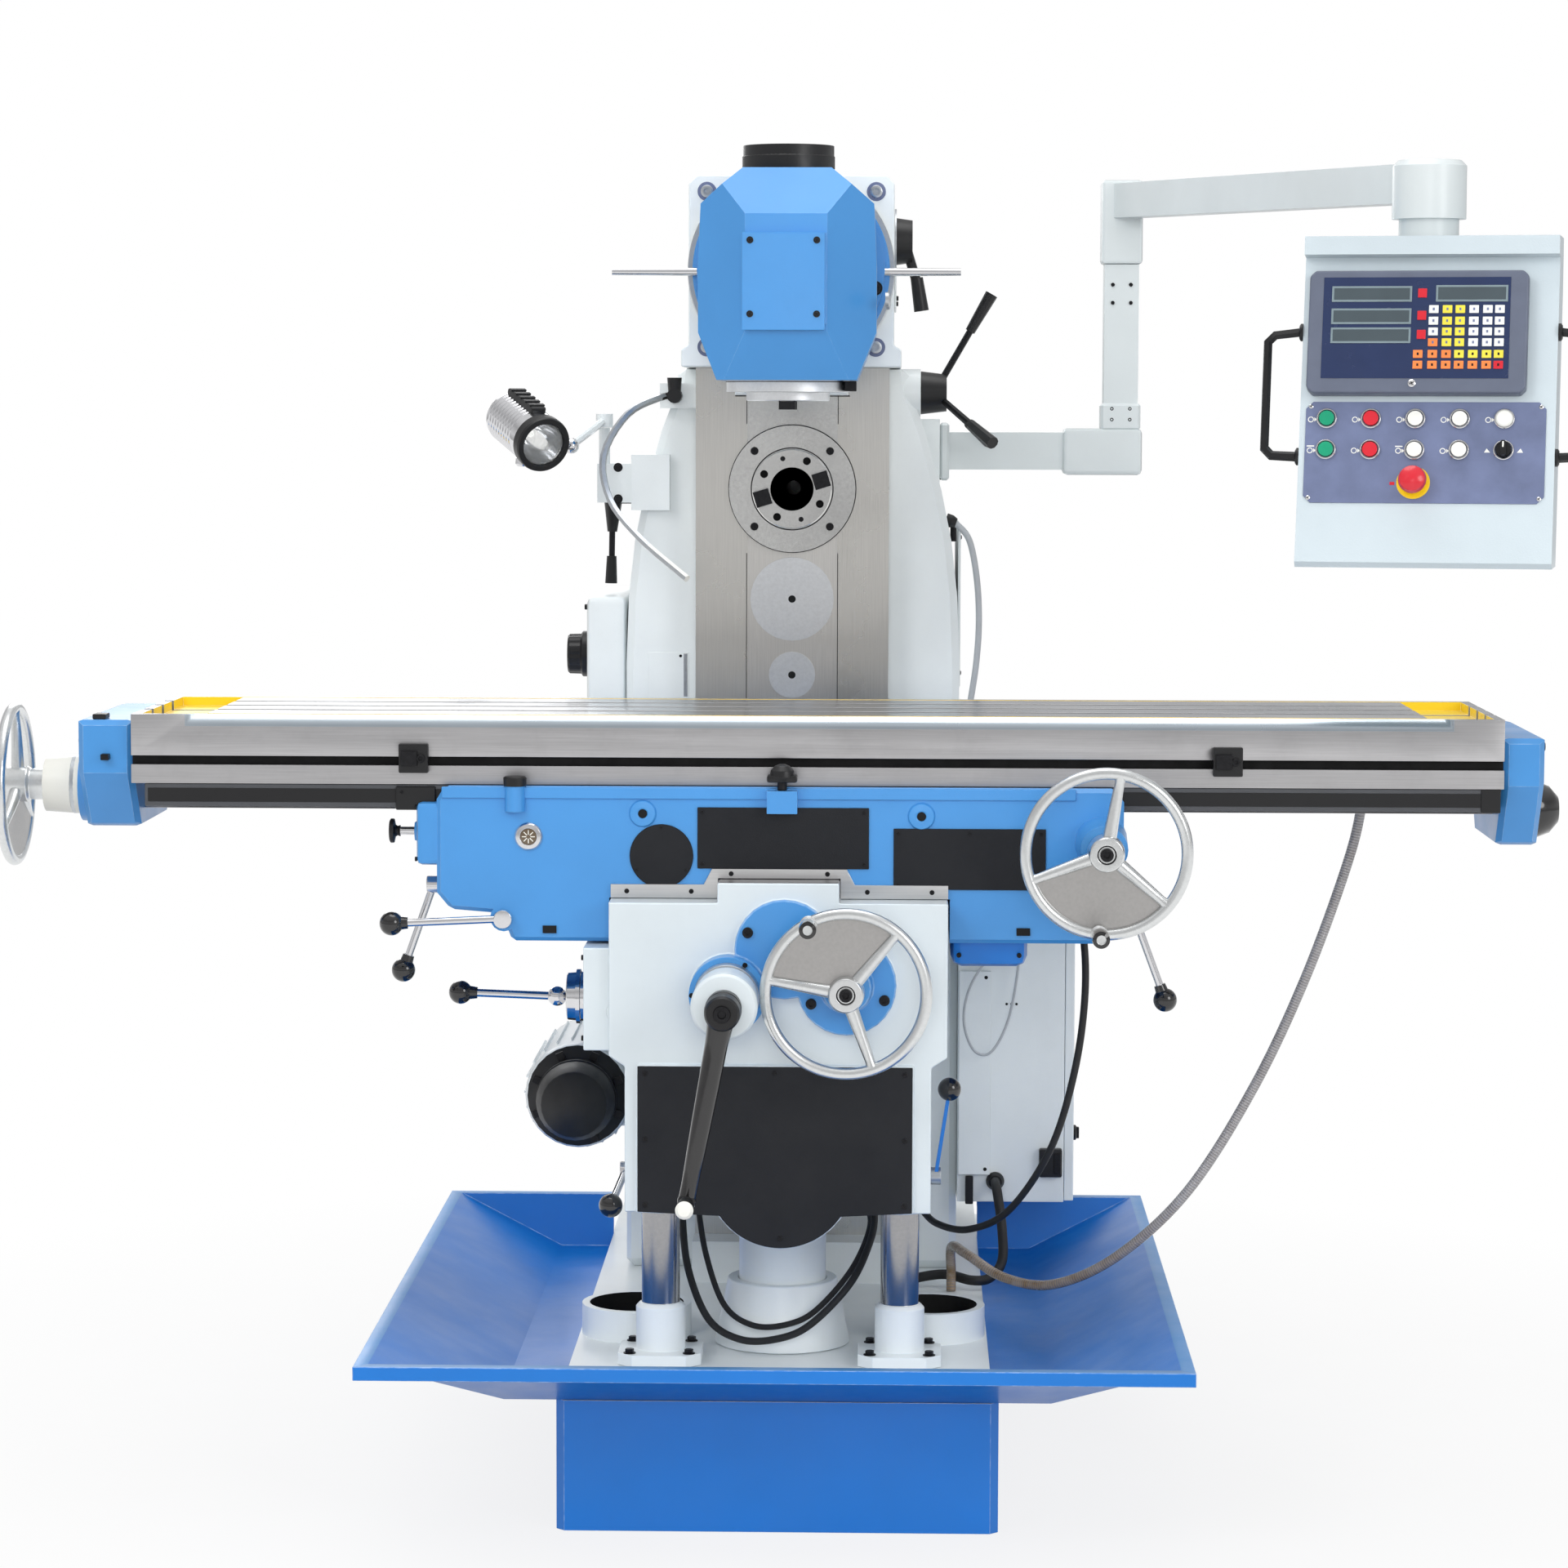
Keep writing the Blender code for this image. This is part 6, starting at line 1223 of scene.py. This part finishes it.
def carve(obj, build):
    """Cuts the gathered shapes out of obj; new faces take the cutter's material."""
    cutter = build.emit("cutter", None, weighted=False)
    mod = obj.modifiers.new("cut", "BOOLEAN")
    mod.object, mod.operation, mod.solver = cutter, "DIFFERENCE", "EXACT"
    mod.material_mode = "TRANSFER"
    bpy.context.view_layer.update()
    done = bpy.data.meshes.new_from_object(obj.evaluated_get(bpy.context.evaluated_depsgraph_get()))
    obj.modifiers.clear()
    obj.data = done
    bpy.data.objects.remove(cutter)


def table_zone(c, n):
    across = abs(c.y + 0.52)
    if 1.1735 < c.z < 1.1879:
        if n.z > 0.9 and c.z < 1.175:
            return YELLOW
        if 0.1735 < across < 0.1865 and abs(n.y) > 0.7 and -0.9355 < c.x < 1.0375:
            return YELLOW
        if (c.x < -0.8395 or c.x > 0.9415) and abs(n.x) > 0.7 and -0.948 < c.x < 1.050:
            return YELLOW
    # painted shade: T-slot walls below the slot's neck are coloured black oxide steel
    if 1.151 < c.z < 1.1875 and across < 0.17 and (abs(n.y) > 0.5 or n.z < -0.5 or c.z < 1.153):
        return OXIDE if c.z < 1.167 else SIDE
    # painted shade: the groove in the table's front is coloured near black
    if c.y < -0.7005 and n.y < 0.9 and 1.1140 < c.z < 1.1280 and c.y > -0.7195:
        return SHADE_AND_MARK_BLACK
    if n.z > 0.9 and c.z > 1.1875:
        return TABLE
    return SIDE


def table_details():
    obj = cad("table", TABLE, 0.0006, table_zone)
    cutter = Build()
    bm = bmesh.new()
    y0, top, low = -0.72, 1.188, 1.171
    lower = [bm.verts.new(p) for p in ((-0.874, y0 - 0.004, low - 0.006), (0.982, y0 - 0.004, low - 0.006))]
    upper = [bm.verts.new(p) for p in ((-0.856, y0 + 0.0125, top + 0.0006), (0.964, y0 + 0.0125, top + 0.0006))]
    front = [bm.verts.new(p) for p in ((-0.874, y0 - 0.004, top + 0.0006), (0.982, y0 - 0.004, top + 0.0006))]
    bm.faces.new([lower[0], lower[1], upper[1], upper[0]])
    bm.faces.new([upper[0], upper[1], front[1], front[0]])
    bm.faces.new([front[0], front[1], lower[1], lower[0]])
    bm.faces.new([lower[0], upper[0], front[0]])
    bm.faces.new([lower[1], front[1], upper[1]])
    # the cut chamfer takes the steel with the painted reflection
    cutter.take(bm, CHAMFER_REFLECTION)
    carve(obj, cutter)
    b = Build()
    for x in (-0.534, 0.650):
        b.box((x - 0.0215, -0.7350, 1.1045), (x + 0.0215, -0.7203, 1.1470), BLACK, 0.0020)
        b.box((x - 0.0180, -0.7400, 1.1150), (x + 0.0060, -0.7350, 1.1370), OXIDE, 0.0012)
        b.cap_screw((x + 0.0110, -0.7350, 1.1260), FRONT, 0.0060, OXIDE, 0.0040)
        b.box((x - 0.0170, -0.7203, 1.1165), (x + 0.0170, -0.7090, 1.1255), OXIDE, 0.0005)
    b.box((-0.930, -0.7170, 1.0530), (1.046, -0.6700, 1.0866), IRON, 0.0016)
    b.box((-0.925, -0.7182, 1.0600), (1.040, -0.7168, 1.0800), BLACK, 0.0004)
    b.box((1.018, -0.7195, 1.0520), (1.0465, -0.6690, 1.0868), BLACK, 0.0015)
    b.emit("table_scale", "table", slot="ground_steel")
    b = Build()
    b.box((-0.561, -0.7240, 1.0495), (-0.503, -0.6980, 1.0840), BLACK, 0.0020)
    b.cap_screw((-0.552, -0.7241, 1.076), FRONT, 0.0022)
    b.cap_screw((-0.512, -0.7241, 1.058), FRONT, 0.0022)
    b.emit("scale_reader", "saddle", slot="black_plastic")
    cad("table_bracket_left", BLUE, 0.003, lambda c, n: CREAM if c.x < -1.0563 else None)
    cad("table_bracket_right", BLUE, 0.003, lambda c, n: GLOSS if c.x > 1.1123 else None)
    cad("lead_screw", TURNED, 0.0005)
    b = Build()
    for s, x in ((-1, -1.0302), (1, 1.1122)):
        for y in (-0.66, -0.38):
            b.cap_screw((x, y, 1.145), (s, 0, 0), 0.0065)
        for y in (-0.60, -0.44):
            b.cap_screw((x, y, 1.050), (s, 0, 0), 0.0050)
    b.lathe([(0.0432, 0), (0.0440, 0.001), (0.0440, 0.006), (0.0432, 0.007)], (-1.064, -0.52, 1.0676), LEFT, SATIN,
            56)
    b.box((-1.010, -0.695, 1.1780), (-0.990, -0.660, 1.1860), BLACK, 0.002)
    b.box((-0.994, -0.7205, 1.1200), (-0.982, -0.7052, 1.1290), OXIDE, 0.001)
    b.emit("bracket_bolts", "table", slot="cast_blue")


def cabinet_details():
    b = Build()
    y = 0.0198
    b.box((0.4065, y - 0.018, 0.3837), (0.4438, y, 0.4304), BLACK, 0.003)
    b.box((0.4300, y - 0.020, 0.3900), (0.4415, y - 0.017, 0.4240), OXIDE, 0.001)
    b.box((0.2740, y - 0.012, 0.3864), (0.3264, y, 0.7220), PALE, 0.0020)
    for z in (0.396, 0.712):
        b.pan_screw((0.3180, y - 0.012, z), FRONT, 0.0030)
    b.box((0.2860, y - 0.0135, 0.338), (0.2990, y, 0.3835), BLACK, 0.002)
    b.box((0.2810, y - 0.030, 0.7350), (0.3320, y, 0.8080), PALE, 0.0020)
    b.box((0.3380, y - 0.018, 0.7500), (0.3570, y, 0.7820), BLACK, 0.0020)
    for x, z in ((0.345, 0.820), (0.345, 0.808), (0.352, 0.740), (0.360, 0.740), (0.368, 0.740), (0.352, 0.667),
                 (0.360, 0.667), (0.368, 0.667), (0.290, 0.800), (0.322, 0.743)):
        b.lathe([(0, 0), (0.0022, 0), (0.0020, 0.0012), (0, 0.0014)], (x, y - (0.030 if x < 0.33 else 0), z), FRONT,
                OXIDE, 12)
    b.lathe([(0.0078, 0), (0.0150, 0), (0.0150, 0.005), (0.0110, 0.013), (0.0088, 0.013)], (0.335, y, 0.375), FRONT,
            BLACK, 40, 0.0008)
    b.emit("cabinet_fittings", "machine", slot="black_plastic")
    b = Build()
    x = 0.4632
    for z in (0.45, 0.97):
        b.lathe([(0, 0), (0.0125, 0), (0.0125, 0.004), (0.010, 0.006), (0, 0.006)], (x, 0.055, z), RIGHT, BLACK, 36)
        b.box((x + 0.005, 0.0495, z - 0.009), (x + 0.010, 0.0605, z + 0.009), OXIDE, 0.001)
    for i in range(9):
        b.box((x - 0.0002, 0.20, 0.52 + i * 0.012), (x + 0.0022, 0.38, 0.526 + i * 0.012), PALE, 0.0006)
        # painted shade: a dark strip in the gap under each louvre blade
        b.box((x - 0.0002, 0.20, 0.517 + i * 0.012), (x + 0.0003, 0.38, 0.520 + i * 0.012), SHADE_AND_MARK_BLACK, 0)
    b.emit("door_fittings", "cabinet_door", slot="black_plastic")


def pendant_frame():
    place = Matrix.Translation((0.926, -0.75, 1.8805)) @ Matrix.Rotation(math.radians(-11), 4, "Z")
    return place, place @ Matrix.Translation((0.010, -0.058, -0.030)) @ Matrix.Rotation(-math.atan2(0.1, 0.375), 4, "X")


def pendant_details():
    place, face = pendant_frame()
    cols = [-0.0162 + 0.062 * i for i in (-2, -1, 0, 1, 2)]
    inv = place.inverted()
    cad("pendant_support_arm", ARM, 0.004)
    cad("pendant_arm", ARM, 0.004)
    cad("pendant_box", PANEL_WHITE, 0.0022,
        lambda c, n: BLACK if abs((inv @ c).x - 0.010) > 0.1795 else None)
    cad("dro_console", FRAME, 0.0035)
    b = Build(face)

    def z_of(z):
        """The height on the sloped face of a height measured straight down."""
        return (z + 0.030) / 0.9662

    def tile(x0, top, x1, bottom, out, thick, mat, bevel=0.0006):
        b.box((x0, -out - thick, z_of(bottom)), (x1, -out, z_of(top)), mat, bevel)

    def key(x, z, mat):
        tile(x - 0.00669, z + 0.00559, x + 0.00669, z - 0.00559, 0.0250, 0.0014, mat)

    def legend(x, z, mat):
        tile(x - 0.00143, z + 0.00186, x + 0.00143, z - 0.00186, 0.0264, 0.0001, mat, 0)

    tile(-0.14919, -0.06499, 0.11243, -0.20718, 0.0240, 0.0010, SCREEN, 0.0004)
    for top in (-0.07781, -0.10928, -0.13609):
        tile(-0.13725, top, -0.02495, top - 0.02214, 0.0250, 0.0012, EDGE, 0.0005)
        tile(-0.13426, top - 0.00291, -0.02794, top - 0.01923, 0.0262, 0.0003, GLASSY, 0)
        tile(-0.01659, top - 0.00350, -0.00405, top - 0.01632, 0.0250, 0.0016, RED, 0.0007)
    tile(0.00850, -0.07664, 0.10884, -0.09995, 0.0250, 0.0012, EDGE, 0.0005)
    tile(0.01148, -0.07956, 0.10586, -0.09704, 0.0262, 0.0003, GLASSY, 0)
    key_columns = (0.00611, 0.02522, 0.04314, 0.06225, 0.08137, 0.09809)
    for i, x in enumerate(key_columns):
        for j, z in enumerate((-0.11044, -0.12676, -0.14191, -0.15706)):
            key(x, z, KEY_YELLOW if i in (1, 2) else KEY_ORANGE if i == 0 and j == 3 else KEY_WHITE)
            legend(x, z, GREY)
    upper_row, lower_row = -0.17338, -0.18853
    for i, x in enumerate((-0.01420, *key_columns)):
        key(x, upper_row, KEY_ORANGE if i < 3 else KEY_YELLOW)
        key(x, lower_row, RED if i == 6 else KEY_ORANGE)
        for z in (upper_row, lower_row):
            legend(x, z, OXIDE)
    b.pan_screw((-0.02137, -0.0240, z_of(-0.21417)), FRONT, 0.0060, CHROME)
    # control plate, with its plain printed marks
    plate, print_face = -0.0019, -0.0021
    x0, x1, z0, z1 = -0.170, 0.1655, z_of(-0.3760), z_of(-0.2345)
    c = 0.010
    b.slab([(x0 + c, z0), (x1 - c, z0), (x1, z0 + c), (x1, z1 - c), (x1 - c, z1), (x0 + c, z1), (x0, z1 - c),
            (x0, z0 + c)],
           "Y", plate, -0.0002, GREY, 0.0003)
    for x, z in ((x0 + 0.007, z0 + 0.007), (x1 - 0.007, z0 + 0.007), (x0 + 0.007, z1 - 0.007),
                 (x1 - 0.007, z1 - 0.007)):
        b.pan_screw((x, plate, z), FRONT, 0.0034, CHROME)
    for i, x in enumerate(cols):
        for row in (-0.2585, -0.302):
            z = z_of(row)
            b.lathe([(0.0119, 0), (0.0148, 0), (0.0150, 0.0012), (0.0144, 0.0042), (0.0136, 0.0050), (0.0122, 0.0050),
                     (0.0119, 0.0040)], (x, plate, z), FRONT, CHROME, 56, 0.0003)
            if i == 4 and row > -0.28:
                b.lathe([(0, 0), (0.0121, 0), (0.0121, 0.0062), (0.0100, 0.0085), (0, 0.0096)], (x, plate, z),
                        FRONT, WHITE, 48, 0.0004)
            # plain pictogram beside each control
            u = x - 0.0215
            if i < 4 or row > -0.28:
                b.bezel(0.0030, 0.0042, 0.0002, (u - 0.001, plate, z - 0.001),
                        FRONT, WHITE, 24)
                b.slab([(u + 0.0038, z - 0.004), (u + 0.0078, z - 0.001), (u + 0.0038, z + 0.002)], "Y", print_face,
                       plate,
                       WHITE, 0)
            if row < -0.28 and i in (0, 2):
                b.box((u - 0.0055, print_face, z + 0.0045), (u + 0.0050, plate, z + 0.0062), WHITE, 0)
    x, z = cols[4], z_of(-0.302)
    for s in (-1, 1):
        b.slab([(x + s * 0.0185, z - 0.003), (x + s * 0.0270, z - 0.003), (x + s * 0.0235, z + 0.003)][::s], "Y",
               print_face, plate, WHITE, 0)
    x, z = cols[2], z_of(-0.3475)
    b.lathe([(0.0120, 0), (0.0235, 0), (0.0235, 0.0012), (0.0225, 0.0020), (0.0120, 0.0020)], (x, plate, z), FRONT,
            AMBER, 64)
    b.lathe([(0.0120, 0), (0.0170, 0), (0.0160, 0.0034), (0.0120, 0.0034)], (x, -0.0038, z), FRONT, AMBER, 48)
    b.box((x - 0.0330, print_face, z - 0.0035), (x - 0.0262, plate, z + 0.0010), RED, 0)
    # handle feet and hinge neck ring
    b.place = place
    for s in (-1, 1):
        for f, z in ((0.079, -0.136), (0.121, -0.3115)):
            b.lathe([(0, 0), (0.0125, 0), (0.0125, 0.004), (0.0095, 0.006), (0, 0.006)],
                    (0.010 + s * 0.1785, -f, z), (s, 0, 0), BLACK, 32, 0.0006)
    b.box((0.010 - 0.170, -0.0800, -0.0245), (0.010 + 0.170, -0.0785, -0.0230), SATIN, 0)
    b.emit("pendant_face", "pendant", slot="cast_pale")
    for node, mat in (("start_1", GREEN), ("stop_1", RED), ("jog_1", WHITE), ("jog_2", WHITE), ("start_2", GREEN),
                      ("stop_2", RED), ("jog_3", WHITE), ("jog_4", WHITE)):
        cad("push_button_" + node, mat, 0.0009)
    cad("selector_switch", BLACK, 0.0006)
    inv = face.inverted()
    out = min((inv @ v.co).y for v in frame["nodes"]["selector_switch"].data.vertices)
    b = Build(face)
    x, z = cols[4], z_of(-0.302)
    b.box((x - 0.0011, out - 0.0004, z + 0.0005), (x + 0.0011, out + 0.0002, z + 0.0085), WHITE, 0.0001)
    b.emit("selector_mark", "selector", slot="white")
    cad("emergency_stop", RED, 0.0006)
    b = Build()
    # joint screws on the square arm's elbows
    for x in (0.527, 0.557):
        for z in (1.812, 1.842, 1.618, 1.636):
            b.cap_screw((x, 0.2712 if z > 1.7 else 0.2690, z), FRONT, 0.0032, OXIDE, 0.0022)
    b.emit("support_screws", "machine", slot="black_plastic")


def trim_cables():
    """Thin leads between column, cabinet and feed drive; each goes into a fitting at both ends."""
    for name, route, r in (
            ("door_conduit", [(0.255, 0.10, 1.452), (0.268, 0.098, 1.446), (0.288, 0.094, 1.420), (0.300, 0.090, 1.360),
                              (0.304, 0.088, 1.290), (0.300, 0.088, 1.220), (0.290, 0.090, 1.150),
                              (0.284, 0.092, 1.101)],
             0.0052),
            ("reader_lead", [(0.345, 0.0020, 0.758), (0.338, -0.006, 0.757), (0.312, -0.014, 0.735),
                             (0.288, -0.014, 0.690),
                             (0.282, -0.014, 0.640), (0.298, -0.014, 0.596), (0.325, -0.014, 0.592),
                             (0.352, -0.012, 0.640), (0.368, -0.010, 0.720), (0.372, -0.008, 0.800),
                             (0.366, 0.004, 0.845), (0.362, 0.0195, 0.850)], 0.0021)):
        hose(name, route, r, CABLE, ["machine"])
    b = Build()
    b.lathe([(0, 0), (0.0085, 0), (0.0085, 0.010), (0.0060, 0.016), (0, 0.016)], (0.366, 0.0195, 0.850), (0, -1, 0.2),
            BLACK, 28, 0.0006)
    b.lathe([(0, 0), (0.0105, 0), (0.0105, 0.010), (0.0075, 0.018), (0, 0.018)], (0.284, 0.092, 1.1003), UP,
            BLACK, 28, 0.0006)
    b.lathe([(0, 0), (0.0105, 0), (0.0105, 0.010), (0.0075, 0.018), (0, 0.018)], (0.2490, 0.10, 1.4550), (1, 0, -0.35),
            BLACK, 28, 0.0006)
    b.emit("lead_glands", "machine", slot="black_plastic")


stand()
column_details()
head_details()
ram_details()
spot_lamp()
nozzle()
wheels()
levers()
knee_details()
saddle_details()
table_details()
cabinet_details()
pendant_details()
trim_cables()
